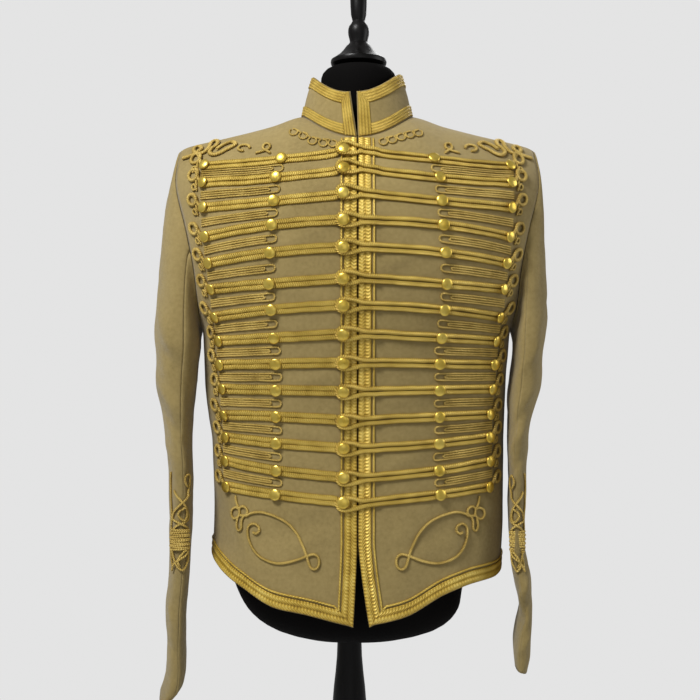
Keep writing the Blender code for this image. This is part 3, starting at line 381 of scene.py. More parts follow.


# gold braid: the weave's x runs across, one unit for each ridge, and y along it in metres; its colour carries
# painted shade in the grooves between ridges
def makeBraid(name, tones, pitch, roughness, metallic, depth, contrast=0.16):
    look = Look(name, "gold_braid", roughness, metallic)
    across, along = look.weave()
    offCentre = look.math("ABSOLUTE", look.math("SUBTRACT", look.math("FRACT", across), 0.5))
    strand = look.wave((along, 2 * math.pi / pitch), (offCentre, 3 * math.pi))
    grain = look.noise(1500.0, 2.0, 0.6)
    worn = look.noise(45.0, 3.0, 0.6)
    # painted shade: the colour darkens towards the edges of each ridge, where the grooves between ridges lie
    # in shadow
    grooveShade = look.math("POWER", offCentre, 2.0)
    tone = look.total((strand, contrast), (worn, 0.62), (grain, 0.22), (grooveShade, -1.15), start=0.16)
    look.link({
        "Base Color": look.ramp(tone, *zip((0.16, 0.46, 0.74), tones)),
        "Normal": look.bump(look.total((grain, 0.5), (strand, 1.0)), 0.85, depth),
        "Roughness": look.total((grain, 0.25), start=roughness - 0.12),
    })
    return look


def makeGilt():
    look = Look("polishedGilt", "gilt_button", 0.30, 0.85)
    smudge = look.noise(260.0, 3.0, 0.6)
    look.link({
        "Base Color": look.ramp(
            look.noise(70.0, 4.0, 0.6), (0.30, (0.72, 0.48, 0.055)), (0.70, (0.94, 0.72, 0.16)),
        ),
        "Roughness": look.total((smudge, 0.20), start=0.20),
        "Normal": look.bump(smudge, 0.10, 0.0004),
    })
    return look


def makeJersey():
    look = Look("blackJersey", "form_cover", 0.88, shine=0.06)
    knit = look.noise(1100.0, 2.0, 0.6)
    tone = look.total((look.noise(14.0, 3.0, 0.5), 0.5), (knit, 0.5))
    look.link({
        "Base Color": look.ramp(tone, (0.35, (0.0018, 0.0016, 0.0016)), (0.70, (0.0045, 0.0040, 0.0038))),
        "Normal": look.bump(knit, 0.5, 0.0003),
    })
    return look


def makeBlackWood():
    look = Look("blackWood", "black_wood", 0.32, shine=0.22)
    stretched = look.add("Mapping", {"Vector": look.place, "Scale": (1.0, 1.0, 0.08)}).outputs[0]
    grain = look.noise(260.0, 4.0, 0.6, stretched)
    look.link({
        "Base Color": look.ramp(grain, (0.30, (0.0015, 0.0013, 0.0012)), (0.75, (0.006, 0.0052, 0.0048))),
        "Roughness": look.total((look.noise(25.0, 4.0, 0.6), 0.30), start=0.20),
        "Normal": look.bump(grain, 0.25, 0.0004),
    })
    return look


cloth = makeCloth()
braid = makeBraid(
    "goldBraid", ((0.170, 0.100, 0.012), (0.540, 0.350, 0.042), (0.850, 0.630, 0.145)),
    0.0026, 0.50, 0.30, 0.0006,
)
cordGold = makeBraid(
    "goldCord", ((0.180, 0.105, 0.016), (0.540, 0.355, 0.064), (0.840, 0.630, 0.185)),
    0.0020, 0.55, 0.25, 0.0005,
)
laceGold = makeBraid(
    "goldLace", ((0.240, 0.140, 0.014), (0.620, 0.405, 0.050), (0.900, 0.690, 0.170)),
    0.0040, 0.45, 0.35, 0.0003, 0.11,
)
collarGold = makeBraid(
    "collarLace", ((0.240, 0.140, 0.014), (0.600, 0.390, 0.048), (0.880, 0.670, 0.165)),
    0.0018, 0.48, 0.35, 0.0004,
)
gilt = makeGilt()
jersey = makeJersey()
blackWood = makeBlackWood()
print("materials made")

# soft creases of the worn cloth, a trough (minus) or ridge (plus) from one spot to another:
# x from the middle and height, at both ends; half width; depth
creases = {
    "frontRight": metres((
        ((215, 1375), (150, 1335), 12, 1), ((186, 1150), (150, 1120), 10, 1.2),
        ((184, 1085), (140, 1070), 11, 1.4), ((150, 945), (120, 870), 16, 2.2),
        ((176, 960), (168, 890), 20, -4), ((80, 925), (65, 850), 18, 1.4), ((30, 1360), (75, 1330), 10, 0.9),
        ((35, 1300), (85, 1276), 7, 1), ((40, 1212), (90, 1222), 7, 0.9), ((30, 1120), (80, 1108), 7, 1),
        ((40, 1045), (100, 1058), 7, 0.9), ((35, 945), (120, 915), 12, -1.4),
    )),
    "frontLeft": metres((
        ((210, 1370), (155, 1330), 13, 1.1), ((188, 1140), (155, 1100), 11, 1.4),
        ((182, 1060), (150, 1030), 12, 1.2), ((165, 950), (150, 870), 15, 2.6),
        ((115, 935), (120, 862), 18, 1.8), ((60, 930), (50, 850), 16, 1.3), ((34, 1340), (80, 1300), 11, 0.9),
        ((30, 1250), (85, 1268), 7, 1.1), ((35, 1180), (80, 1160), 7, 1), ((30, 1085), (90, 1094), 7, 1),
        ((40, 1010), (85, 1022), 7, 0.9), ((30, 900), (110, 930), 12, -1.4),
    )),
    "backRight": metres((
        ((60, 1400), (175, 1360), 20, 2.2), ((20, 1020), (110, 1045), 14, 2.4),
        ((50, 985), (150, 965), 14, 2), ((205, 1300), (170, 1180), 16, 2.4), ((120, 960), (130, 885), 18, 3),
        ((50, 950), (45, 880), 18, 2.4),
    )),
    "backLeft": metres((
        ((55, 1395), (170, 1352), 21, 2.4), ((10, 1045), (120, 1020), 13, 2.2),
        ((60, 970), (155, 990), 15, 2.4), ((200, 1310), (165, 1200), 15, 2.6),
        ((110, 965), (115, 885), 17, 2.8), ((40, 940), (55, 880), 16, 2),
    )),
}
clothWave = {"height": 0.0011, "size": 0.050, "fine": 0.00035, "fineSize": 0.018}
creaseFade = {"past": 0.35, "over": 0.6}  # shares of its length: how far past its ends, and over how much


def creaseHeight(across, up, marks):
    total = 0.0
    for (x1, z1), (x2, z2), width, depth in marks:
        dx, dz = x2 - x1, z2 - z1
        length = math.hypot(dx, dz)
        t = ((across - x1) * dx + (up - z1) * dz) / length ** 2
        off = abs((across - x1) * dz - (up - z1) * dx) / length
        inside = min(t, 1 - t) + creaseFade["past"]
        if inside >= 0 and off <= 3 * width:
            ends = smooth((t + creaseFade["past"]) / creaseFade["over"])
            ends *= smooth((1 + creaseFade["past"] - t) / creaseFade["over"])
            total += depth * ends * bell(off, width)
    return total


def waveHeight(point, shift):
    place = point + Vector((0, 0, shift))
    slow = noise.noise(place / clothWave["size"]) * clothWave["height"]
    return slow + noise.noise(place / clothWave["fineSize"]) * clothWave["fine"]


# the weave's own measure of a grid: lengths along its rows and up its columns
def weaveOf(grid, offset):
    uvRows = []
    upTo = [0.0] * len(grid[0])
    for j, row in enumerate(grid):
        if j:
            upTo = [v + (row[i] - grid[j - 1][i]).length for i, v in enumerate(upTo)]
        along = [offset]
        for a, b in zip(row, row[1:]):
            along.append(along[-1] + (b - a).length)
        uvRows.append(list(zip(along, upTo)))
    return uvRows


seats = {}  # the surfaces that braid and cords lie on


def treeOf(part):
    return BVHTree.FromPolygons([tuple(p) for p in part["points"]], part["faces"])


# one cloth piece, a thin shell
def makeSheet(node, grid, whole, offset=0.0, thick=cut["shellThick"], flip=False):
    part = newPart()
    addGrid(part, grid, weaveOf(grid, offset), flip=flip)
    addGrid(whole, grid, (), flip=flip)
    piece = makePiece(node, "cloth", part, cloth)
    solid = piece.modifiers.new("thickness", "SOLIDIFY")
    solid.thickness = thick
    solid.offset = -1.0
    solid.use_even_offset = False
    solid.use_rim = True


panelLook = {
    "lowRows": 78,  # rows up to the armhole and beside it
    "highRows": 62,
    "neckColumns": 16,
    "shoulderColumns": 40,
    "samples": 400,
    "split": 0.022,  # the middle reaches its upper rows this far below the armhole
    "calmRows": 7,  # creases fade out over this many rows at an edge
    "seamDip": 0.0003,
    "seamReach": 1.1,
    "sheets": {"front": (0.30, 0.66, 0.1480), "back": (0.29, 0.60, 0.1360)},
}


def armholeSpot(share, face):
    turn = readRows(armholeRows, share, 2)
    return (turn if face == "front" else max(180.0 - turn, justBehind)), readRows(armholeRows, share, 1)


# spots at even lengths along the armhole, from its bottom to the shoulder tip
@lru_cache(maxsize=None)
def armholeSpots(face, rows):
    fine = [armholeSpot(share, face) for share in steps(0.0, 1.0, panelLook["samples"])]
    lengths = [0.0]
    for a, b in zip(fine, fine[1:]):
        lengths.append(lengths[-1] + (surface(*b) - surface(*a)).length)
    return [
        fine[min(range(len(fine)), key=lambda i: abs(lengths[i] - wanted))]
        for wanted in steps(0.0, lengths[-1], rows)
    ]


def panelSpots(side, face):
    back = face == "back"
    sign = sides[side]
    lowRows, highRows = panelLook["lowRows"], panelLook["highRows"]
    columns = panelLook["neckColumns"] + panelLook["shoulderColumns"]
    armhole = armholeSpots(face, highRows)
    bottomTurn, bottomZ = armhole[0]
    outerEdge = [(bottomTurn, z) for z in steps(hemZ(side, 90.0), bottomZ, lowRows)[:-1]] + armhole

    split = bottomZ - panelLook["split"]
    heights = steps(hemZ(side, 180.0 if back else 0.0), split, lowRows)[:-1]
    heights += steps(split, neckSpot(0.0, face)[1], highRows)
    middleEdge = []
    for z in heights:
        x = sign * cut["seamGap"] / 2 if back else frontEdgeX(side, z)
        middleEdge.append((abs(turnOf(x, z, back)), z))

    least = cut["seamGap"] / 2 if back else cut["frontSlit"]
    neck = [neckSpot(degrees, face) for degrees in steps(0.0, 90.0, panelLook["neckColumns"])]
    shoulder = steps(cut["neckHalfWidth"], abs(surface(*armhole[-1]).x), panelLook["shoulderColumns"])[1:]
    topLine = [(max(x, least), z) for x, z in neck] + [(x, ridgeAt(x)) for x in shoulder]
    topEdge = [(abs(turnOf(sign * x, z, back)), z) for x, z in topLine[:-1]] + armhole[-1:]

    hemTurns = steps(middleEdge[0][0], bottomTurn, columns)[1:]
    hemEdge = middleEdge[:1] + [(turn, hemZ(side, turn)) for turn in hemTurns]

    def evened(spots):
        return [(turn, unroll(abs(surface(turn, z).x), z)) for turn, z in spots]

    middle, outer, hem, top = (evened(edge) for edge in (middleEdge, outerEdge, hemEdge, topEdge))
    grid = []
    for j in range(lowRows + highRows + 1):
        blend = (j / (lowRows + highRows)) ** 2
        row = []
        for i in range(columns + 1):
            u = i / columns
            spot = [
                mix(middle[j][k], outer[j][k], u) + mix(hem[i][k], top[i][k], blend)
                - mix(mix(hem[0][k], hem[-1][k], u), mix(top[0][k], top[-1][k], u), blend)
                for k in (0, 1)
            ]
            row.append((spot[0], reroll(*spot)))
        row[0], row[-1] = middleEdge[j], outerEdge[j]
        grid.append(row)
    grid[0], grid[-1] = hemEdge, topEdge
    return [[(sign * turn, z) for turn, z in row] for row in grid]


def makePanels():
    whole = newPart()
    for face in ("front", "back"):
        for side, sign in sides.items():
            spots = panelSpots(side, face)
            lastRow, lastColumn = len(spots) - 1, len(spots[0]) - 1
            grid = []
            for j, row in enumerate(spots):
                line = []
                for i, (turn, z) in enumerate(row):
                    point = surface(turn, z)
                    edge = min(i, lastColumn - i, lastRow - j)
                    height = creaseHeight(abs(point.x), z, creases[face + side.capitalize()])
                    height = (height + waveHeight(point, 3 * sign)) * smooth(edge / panelLook["calmRows"])
                    if face == "back" or i > lastColumn / 2:
                        height -= panelLook["seamDip"] * bell(edge, panelLook["seamReach"])
                    line.append(point + surfaceNormal(turn, z) * height)
                grid.append(line)
            makeSheet(
                f"{face}_{side}", grid, whole,
                offset=0.37 * sign, flip=(sign > 0) == (face == "back"),
            )
    seats["body"] = treeOf(whole)
    print("fronts and backs made")


makePanels()

collarLook = {
    "frontHeight": 0.059,
    "backHeight": 0.050,
    "topHalfWidth": 0.058,
    "topFront": 0.074,
    "topBack": 0.056,
    "topEnds": (-1.0, -9.0),  # degrees past the middle at the wearer's left and right
    "columns": 150,
    "rows": 16,
    "thick": 0.0020,
    "bulge": 0.0012,
    "sheet": (0.48, 0.062, 0.0255),
}


# round the collar, around runs from 0 at the wearer's left front to 1 at the right front
def collarSpot(around, up):
    low = 360.0 * around
    signed = low if low <= 180.0 else low - 360.0
    if abs(signed) < 1e-6:
        signed = 1e-6 if around < 0.5 else -1e-6
    face = "front" if abs(signed) <= 90.0 else "back"
    x, z = neckSpot(signed, face)
    if abs(signed) < 90.0:
        x = math.copysign(max(abs(x), cut["frontSlit"]), signed)
    base = surface(turnOf(x, z, face == "back"), z) + Vector((0, 0, cut["seamGap"]))
    angle = math.radians(mix(collarLook["topEnds"][0], 360.0 + collarLook["topEnds"][1], around))
    depth = collarLook["topFront"] if math.cos(angle) > 0 else collarLook["topBack"]
    height = mix(collarLook["backHeight"], collarLook["frontHeight"], (1 + math.cos(angle)) / 2)
    top = Vector((collarLook["topHalfWidth"] * math.sin(angle), -depth * math.cos(angle), base.z + height))
    return base.lerp(top, up)


def onCollar(around, up):
    along = collarSpot(min(around + 0.004, 1.0), up) - collarSpot(max(around - 0.004, 0.0), up)
    rise = collarSpot(around, 1.0) - collarSpot(around, 0.0)
    bulge = collarLook["bulge"] * math.sin(math.pi * clamp(up))
    return collarSpot(around, up) + along.cross(rise).normalized() * bulge


def makeCollar():
    rounds, ups = steps(0.0, 1.0, collarLook["columns"]), steps(0.0, 1.0, collarLook["rows"])
    grid = [[onCollar(around, up) for around in rounds] for up in ups]
    whole = newPart()
    makeSheet("collar", grid, whole, thick=collarLook["thick"])
    seats["collar"] = treeOf(whole)
    print("collar made")


makeCollar()

sleeveLook = {
    "power": 2.8,
    "capRows": 26,
    "rows": 112,
    "armholeRows": 40,  # the ring has twice as many columns
    "capStart": 0.035,
    "capEnd": (0.020, 0.120),
    "underShare": 4 / 9,  # the under sleeve reaches this far up the armhole
    "cuffSlant": {"right": 0.012, "left": 0.008},
    "turnedIn": 0.15,  # how far the front of the sleeve turns towards the body
    "calmRows": 8,
    "seamDip": (0.0002, 0.8),  # depth, and reach in columns
    "armholeDip": (0.0003, 1.2),
    "waves": 1.5,
    "sheets": {"under": (0.17, 0.56, 0.0760), "upper": (0.23, 0.70, 0.1300)},
}
# psi (degrees, 90 is the front, 0 the outside) and height, at both ends; half width; depth
sleeveCreases = {
    "right": metres((
        ((60, 1150), (120, 1105), 10, -3), ((40, 1105), (115, 1065), 10, 3.2),
        ((55, 1065), (125, 1030), 9, -3), ((20, 1215), (80, 1150), 13, 2.4), ((30, 1030), (110, 995), 9, 2.2),
        ((60, 830), (115, 800), 9, 1.8), ((40, 790), (110, 772), 8, -1.8), ((-60, 1120), (10, 1070), 14, -3),
        ((-70, 1060), (0, 1030), 13, 2.8), ((-40, 1240), (20, 1160), 16, 2.6),
        ((-70, 960), (-10, 900), 14, 2.2), ((200, 1110), (250, 1060), 13, 2.2),
        ((190, 980), (240, 930), 14, 2), ((0, 1360), (5, 1230), 30, 3.4), ((70, 1010), (120, 985), 7, -2.2),
        ((75, 740), (110, 728), 7, 1.8),
    )),
    "left": metres((
        ((60, 1160), (120, 1110), 11, 2.6), ((45, 1090), (120, 1050), 10, -2.6),
        ((70, 1050), (130, 1020), 9, 2.2), ((35, 905), (115, 872), 8, -3.2), ((30, 880), (120, 838), 9, 4),
        ((60, 842), (130, 812), 8, -2.8), ((20, 1230), (75, 1165), 13, 2.4),
        ((-60, 1105), (10, 1060), 14, -2.8), ((-70, 1070), (5, 1020), 12, 2.8),
        ((-50, 900), (20, 850), 12, -3), ((-40, 1250), (20, 1170), 16, 2.6),
        ((200, 1090), (250, 1040), 13, 2.2), ((190, 960), (245, 900), 14, 2),
        ((-5, 1300), (5, 1170), 30, 3.6), ((60, 1020), (115, 998), 7, -2), ((60, 800), (110, 776), 7, 2),
    )),
}
roundDegree = 0.9  # a degree round the sleeve, in millimetres


@lru_cache(maxsize=None)
def sleeveAt(side, z):
    return tuple(readRows(sleeveRows[side], z, column) for column in (1, 2, 3, 4))


def sleeveRing(side, psi, z):
    outer, inner, middleY, depth = sleeveAt(side, z)
    angle = math.radians(psi)
    forward = depth * signedPower(math.sin(angle), 2 / sleeveLook["power"])
    out = (outer + inner) / 2 + (outer - inner) / 2 * signedPower(math.cos(angle), 2 / sleeveLook["power"])
    return Vector((sides[side] * (out - sleeveLook["turnedIn"] * forward), middleY - forward, z))


def armholePoint(side, column):
    rows = sleeveLook["armholeRows"]
    index = min(column, 2 * rows - column)
    turn, z = armholeSpots("front" if column <= rows else "back", rows)[index]
    point = surface(sides[side] * turn, z)
    if index in (0, rows):
        point.y = 0.0
    point.x += sides[side] * cut["seamGap"]
    return point


def sleevePoint(side, column, row):
    topZ = sleeveRows[side][-1][0]
    psi = 180.0 - 180.0 * column / sleeveLook["armholeRows"]
    if row >= sleeveLook["capRows"]:
        share = (row - sleeveLook["capRows"]) / sleeveLook["rows"]
        point = sleeveRing(side, psi, mix(topZ, sleeveRows[side][0][0], share))
        slant = sleeveLook["cuffSlant"][side] * smooth((share - 0.80) / 0.20)
        angle = math.radians(psi)
        point.z += slant * (0.5 - 0.5 * math.cos(angle) + 0.35 * math.sin(angle))
        return point
    start = armholePoint(side, column)
    end = sleeveRing(side, psi, topZ)
    drop = (start.z - end.z) / (armholeRows[-1][1] - topZ)
    leave = Vector((sides[side], 0.0, -0.15)) * sleeveLook["capStart"] * mix(0.35, 1.0, drop)
    arrive = Vector((0.0, 0.0, -1.0)) * mix(*sleeveLook["capEnd"], drop)
    return hermite(start, end, leave, arrive, row / sleeveLook["capRows"])


def sleeveCrease(side, psi, z):
    total = 0.0
    for (p1, z1), (p2, z2), width, depth in sleeveCreases[side]:
        mark = ((p1 * roundDegree, z1), (p2 * roundDegree, z2), width, depth)
        turned = [metres((psi + turn) * roundDegree) for turn in (0.0, 360.0, -360.0)]
        total += sum(creaseHeight(along, z, [mark]) for along in turned)
    return total


def makeSleeves():
    ring = 2 * sleeveLook["armholeRows"]
    lastRow = sleeveLook["capRows"] + sleeveLook["rows"]
    under = round(sleeveLook["armholeRows"] * sleeveLook["underShare"])
    spans = {"under": range(-under, under + 1), "upper": range(under, ring - under + 1)}
    (seamDip, seamReach), (armDip, armReach) = sleeveLook["seamDip"], sleeveLook["armholeDip"]
    for side, sign in sides.items():
        base = [[sleevePoint(side, i, j) for i in range(ring)] for j in range(lastRow + 1)]
        creased = []
        for j, row in enumerate(base):
            line = []
            for i, point in enumerate(row):
                along = row[(i + 1) % ring] - row[i - 1]
                down = base[min(j + 1, lastRow)][i] - base[max(j - 1, 0)][i]
                nearSeam = min(abs(i - under), abs(i - (ring - under)))
                height = sleeveCrease(side, 180.0 - 360.0 * i / ring, point.z)
                height += waveHeight(point, 7) * sleeveLook["waves"]
                height *= smooth(j / sleeveLook["calmRows"])
                height -= seamDip * bell(nearSeam, seamReach) + armDip * bell(j, armReach)
                line.append(point + (down.cross(along) * sign).normalized() * height)
            creased.append(line)
        whole = newPart()
        for name, columns in spans.items():
            makeSheet(
                f"sleeve_{side}_{name}", [[row[i % ring] for i in columns] for row in creased],
                whole,
                offset=0.11, flip=side == "left",
            )
        seats[f"sleeve_{side}"] = treeOf(whole)
    print("sleeves made")


makeSleeves()


# cords and braids: a route of spots on a seat, and a section swept along it
def curveThrough(points, step):
    ends = [points[0] * 2 - points[1], *points, points[-1] * 2 - points[-2]]
    made = []
    for p0, p1, p2, p3 in zip(ends, ends[1:], ends[2:], ends[3:]):
        count = max(1, round((p2 - p1).length / step))
        for n in range(count):
            t = n / count
            made.append(0.5 * (
                2 * p1 + (p2 - p0) * t + (2 * p0 - 5 * p1 + 4 * p2 - p3) * t ** 2
                + (3 * p1 - p0 - 3 * p2 + p3) * t ** 3
            ))
    return made + points[-1:]


# the lines' points at even lengths along the first of them
def evenSteps(step, guide, *lines):
    lengths = [0.0]
    for a, b in zip(guide, guide[1:]):
        lengths.append(lengths[-1] + (b - a).length)
    made = [[] for _ in lines]
    k = 0
    for wanted in steps(0.0, lengths[-1], max(2, round(lengths[-1] / step))):
        while k < len(lengths) - 2 and lengths[k + 1] < wanted:
            k += 1
        span = lengths[k + 1] - lengths[k]
        t = (wanted - lengths[k]) / span if span > 0 else 0.0
        for points, line in zip(made, lines):
            points.append(line[k].lerp(line[k + 1], t))
    return made


def softened(values, times):
    for _ in range(times):
        values = [
            (before + value * 2 + after) / 4
            for before, value, after in zip(values[:1] + values, values, values[1:] + values[-1:])
        ]
    return values


endSizes = (0.45, 0.85, 1.0)  # a cord's first rings, from its end
onCloth = 0.0001  # how far a cord clears its seat


def addCord(part, points, seat, section, lift=onCloth, step=0.0012):
    route = curveThrough(points, step)
    found = [seats[seat].find_nearest(p) for p in evenSteps(step, route, route)[0]]
    places = softened([f[0] for f in found], 2)
    normals = softened([f[1] for f in found], 6)
    last = len(places) - 1
    rings = []
    uvRows = []
    length = 0.0
    for k, place in enumerate(places):
        normal = normals[k].normalized()
        tangent = (places[min(k + 1, last)] - places[max(k - 1, 0)]).normalized()
        across = normal.cross(tangent).normalized()
        length += (place - places[max(k - 1, 0)]).length
        rise = lift(k / last, place) if callable(lift) else lift
        size = endSizes[min(k, last - k, 2)]
        rings.append([place + across * a * size + normal * (rise + b * size) for a, b, _ in section])
        uvRows.append([(u, length) for _, _, u in section])
    addGrid(part, rings, uvRows, ring=True, caps=True)


# sections: distance across, height, and place across the ridges
def roundSection(width, height, count=9):
    made = []
    for k in range(count):
        angle = 2 * math.pi * k / count
        a = -math.sin(angle) * width / 2
        made.append((a, (1 - math.cos(angle)) * height / 2, 0.5 + 0.9 * a / width))
    return made


def braidSection(width, height, count=10):
    made = [(0.46 * width, 0.0, 0.01), (-0.46 * width, 0.0, 0.99)]
    for share in reversed(steps(0.0, 1.0, count)):
        wave = abs(math.sin(math.pi * share)) ** 0.35
        edge = min(1.0, min(share, 1 - share) * count * 0.8 + 0.15)
        made.append(((0.5 - share) * width, height * mix(0.42 * edge, 1.0, wave), share))
    return made


frogLook = {
    "braid": (0.0070, 0.0023),  # width, height
    "loop": (0.0060, 0.0027),
    "apart": 0.0062,
    "overhang": 0.004,
    "pinch": (0.10, 0.006),  # how much the braids close up under the middle button, and how near it
    "jitter": 0.0003,
    "centreButtonX": -0.017,
    "loopRadius": 0.0074,
    "splitFrom": 0.0090,
    "bend": ((0.0040, 0.52), (-0.0020, 0.74), (-0.0090, 0.95)),  # place and share of the loop's radius
    "rightEnd": 0.0225,
    "laceClimb": (0.030, 0.0220),
    "overLace": 0.0019,
    "overBar": 0.0024,
    "barClimb": (-0.004, 0.008),
    "step": 0.0016,
}


# height of a row of braid at any distance from the middle
def rowZ(index, x):
    xs = (0.0, *frogRows[index][3:])
    total = 0.0
    for i in range(3):
        weights = [(abs(x) - xs[j]) / (xs[i] - xs[j]) for j in range(3) if j != i]
        total += frogRows[index][i] * math.prod(weights)
    return total


def overLace(x):
    high, low = frogLook["laceClimb"]
    return onCloth + frogLook["overLace"] * smooth((high - abs(x)) / (high - low))


# lines of braid above (1) or below (-1) a row's middle, from its outer end in to a distance
def rowLines(index, sign, end, count, highs):
    middle, outer = frogRows[index][3:]
    closed, near = frogLook["pinch"]
    lines = [[] for _ in highs]
    for x in steps(outer + frogLook["overhang"], end, count):
        off = frogLook["apart"] / 2 * (1.0 - closed * bell(x - middle, near))
        for high, line in zip(highs, lines):
            jitter = random.uniform(-frogLook["jitter"], frogLook["jitter"])
            line.append(bodySpot(sign * x, rowZ(index, x) + high * off + jitter))
    return lines


def makeFrogs():
    button, radius = frogLook["centreButtonX"], frogLook["loopRadius"]
    onBar, climb = frogLook["barClimb"]
    turn = [math.radians(degrees) for degrees in (90, 135, 180, 225, 270)]
    arm = [(x, radius * share) for x, share in frogLook["bend"]]
    bend = arm + [(button + radius * math.cos(a), radius * math.sin(a)) for a in turn]
    bend += [(x, -up) for x, up in reversed(arm)]

    def overBar(t, p):
        return overLace(p.x) + smooth((onBar - p.x) / climb) * frogLook["overBar"]

    for index in range(len(frogRows)):
        part = newPart()
        for high in (-1, 1):
            line = rowLines(index, sides["right"], frogLook["rightEnd"], 14, (high,))[0]
            addCord(
                part, line, "body", braidSection(*frogLook["braid"]),
                lambda t, p: overLace(p.x), frogLook["step"],
            )
        makePiece(f"frog_right_{index + 1:02d}", "braid", part, braid)
        # on the left one braid goes out along the row, round the button and back
        part = newPart()
        upper, lower = rowLines(index, sides["left"], frogLook["splitFrom"], 12, (1, -1))
        loop = upper + [bodySpot(x, rowZ(index, 0.0) + up) for x, up in bend] + lower[::-1]
        addCord(part, loop, "body", braidSection(*frogLook["loop"]), overBar, frogLook["step"])
        makePiece(f"frog_left_{index + 1:02d}", "braid", part, braid)
    print("frogging made")


makeFrogs()

buttonLook = {
    "profile": metres((  # radius, height
        (3, 0), (5.6, 0.4), (6.7, 0.9), (7.2, 1.7), (7.1, 2.3), (6.5, 3), (5.3, 3.5), (3.7, 3.9), (1.8, 4.2),
        (0.1, 4.3),
    )),
    "sides": 32,
    "lift": 0.0027,
    "centreLift": 0.0058,
    "tilt": 0.18,
    "centreTilt": 0.108,
    "bow": -0.05,  # every button bows down a little
    "columns": {  # side and column of the table of rows
        "centre": None,
        "right_middle": (-1, 3),
        "right_outer": (-1, 4),
        "left_middle": (1, 3),
        "left_outer": (1, 4),
    },
}


# a profile of radii and heights turned round an axis
def addTurned(part, place, axes, profile, count, uvs, flip=False):
    across, other, axis = axes
    angles = [2 * math.pi * k / count for k in range(count)]
    rings = [
        [place + (across * math.cos(a) + other * math.sin(a)) * radius + axis * height for a in angles]
        for radius, height in profile
    ]
    uvRows = [[(k / count, v) for k in range(count)] for v in uvs]
    addGrid(part, rings, uvRows, ring=True, caps=True, flip=flip)


def makeButtons():
    profile = buttonLook["profile"]
    for name, column in buttonLook["columns"].items():
        tilt = buttonLook["tilt" if column else "centreTilt"]
        lift = buttonLook["lift" if column else "centreLift"]
        part = newPart()
        for index, row in enumerate(frogRows):
            x = column[0] * row[column[1]] if column else frogLook["centreButtonX"]
            place, normal = seats["body"].find_nearest(bodySpot(x, rowZ(index, x)))[:2]
            leanX, leanZ = random.uniform(-tilt, tilt), random.uniform(-tilt, tilt)
            axis = (normal + Vector((leanX, 0, leanZ + buttonLook["bow"]))).normalized()
            across = axis.orthogonal().normalized()
            axes = (across, axis.cross(across), axis)
            addTurned(part, place + normal * lift, axes, profile, buttonLook["sides"], range(len(profile)))
        makePiece("buttons", name, part, gilt, replaces=False)
    print("buttons made")


makeButtons()

hairpinLook = {
    "width": 0.0026,
    "height": 0.0018,
    "pins": ((0.0041, 0.0), (0.0014, 0.0120)),  # half the space between its legs, how much shorter it is
    "room": 0.0112,  # bars and buttons take this much of the space between two rows
    "least": 0.6,
    "innerEnd": -0.006,
    "outerStart": 0.006,
    "step": 0.0014,
    "uneven": 0.001,  # how much their inner ends differ
    "jitter": 0.00025,
}
# curls at each outer button: cord's width and height, lift, where it crosses itself and over what share,
# and its spots outward and up
curlLooks = (
    (0.0048, 0.0036, 0.0002, 0.88, 0.10, metres((
        (1, -1), (5, 1.5), (8.2, 5.3), (11.1, 10.4), (14.6, 15.7), (19.7, 17.9), (24.7, 15.5), (26.4, 10.8),
        (23.4, 6), (17.4, 4.5), (11.8, 6.9), (9.7, 12.1), (12.4, 16.6), (18, 17.9),
    ))),
    (0.0032, 0.0025, 0.0001, 0.82, 0.09, metres((
        (12.2, 8), (12.8, 3), (11.8, -2), (13, -5.8), (16.5, -7.8), (19.8, -6.2), (20, -2.2), (16.6, -0.4),
        (13.2, -2.4), (11.6, -7.2), (12.8, -10),
    ))),
)
curlCross = 0.0016  # how high a curl's cord rises where it crosses itself
curlTwist = 0.12
curlStep = 0.0011


# a spot a little way round the body and up from another, measured along the cloth
def beside(x, z, across, up):
    turn = turnOf(x, z)
    speed = (surface(turn + 0.5, z) - surface(turn - 0.5, z)).length
    return surface(turn + math.copysign(across / speed, turn), z + up)


def makeSideBraids():
    pin = roundSection(hairpinLook["width"], hairpinLook["height"], 7)
    jitter = hairpinLook["jitter"]
    last = len(frogRows) - 1
    for side, sign in sides.items():
        part = newPart()
        for index, (_, _, z, middle, outer) in enumerate(frogRows):
            twist = random.uniform(-curlTwist, curlTwist)
            for width, height, low, at, reach, curl in curlLooks[:1 if index == last else 2]:
                addCord(
                    part, [beside(sign * outer, z, a + twist * b, b) for a, b in curl], "body",
                    roundSection(width, height), lambda t, p: low + curlCross * bell(t - at, reach), curlStep,
                )
            if index == last:
                break
            start = (outer + frogRows[index + 1][4]) / 2 + hairpinLook["outerStart"]
            inner = (middle + frogRows[index + 1][3]) / 2 + hairpinLook["innerEnd"]
            inner += random.uniform(-hairpinLook["uneven"], hairpinLook["uneven"])
            room = (rowZ(index, inner) - rowZ(index + 1, inner) - hairpinLook["room"]) / 2
            fit = clamp(room / hairpinLook["pins"][0][0], hairpinLook["least"], 1.0)
            for reach, shorter in hairpinLook["pins"]:
                reach *= fit
                end = inner + shorter
                leg = [(x, reach) for x in steps(start, end + reach, 6)] + [(end + reach * 0.3, reach * 0.72)]
                spots = []
                for x, off in leg + [(end, 0.0)] + [(x, -off) for x, off in reversed(leg)]:
                    between = (rowZ(index, x) + rowZ(index + 1, x)) / 2
                    spots.append(bodySpot(sign * x, between + off + random.uniform(-jitter, jitter)))
                addCord(part, spots, "body", pin, step=hairpinLook["step"])
        makePiece(f"side_braid_{side}", "cords", part, cordGold)
    print("side braids made")


makeSideBraids()

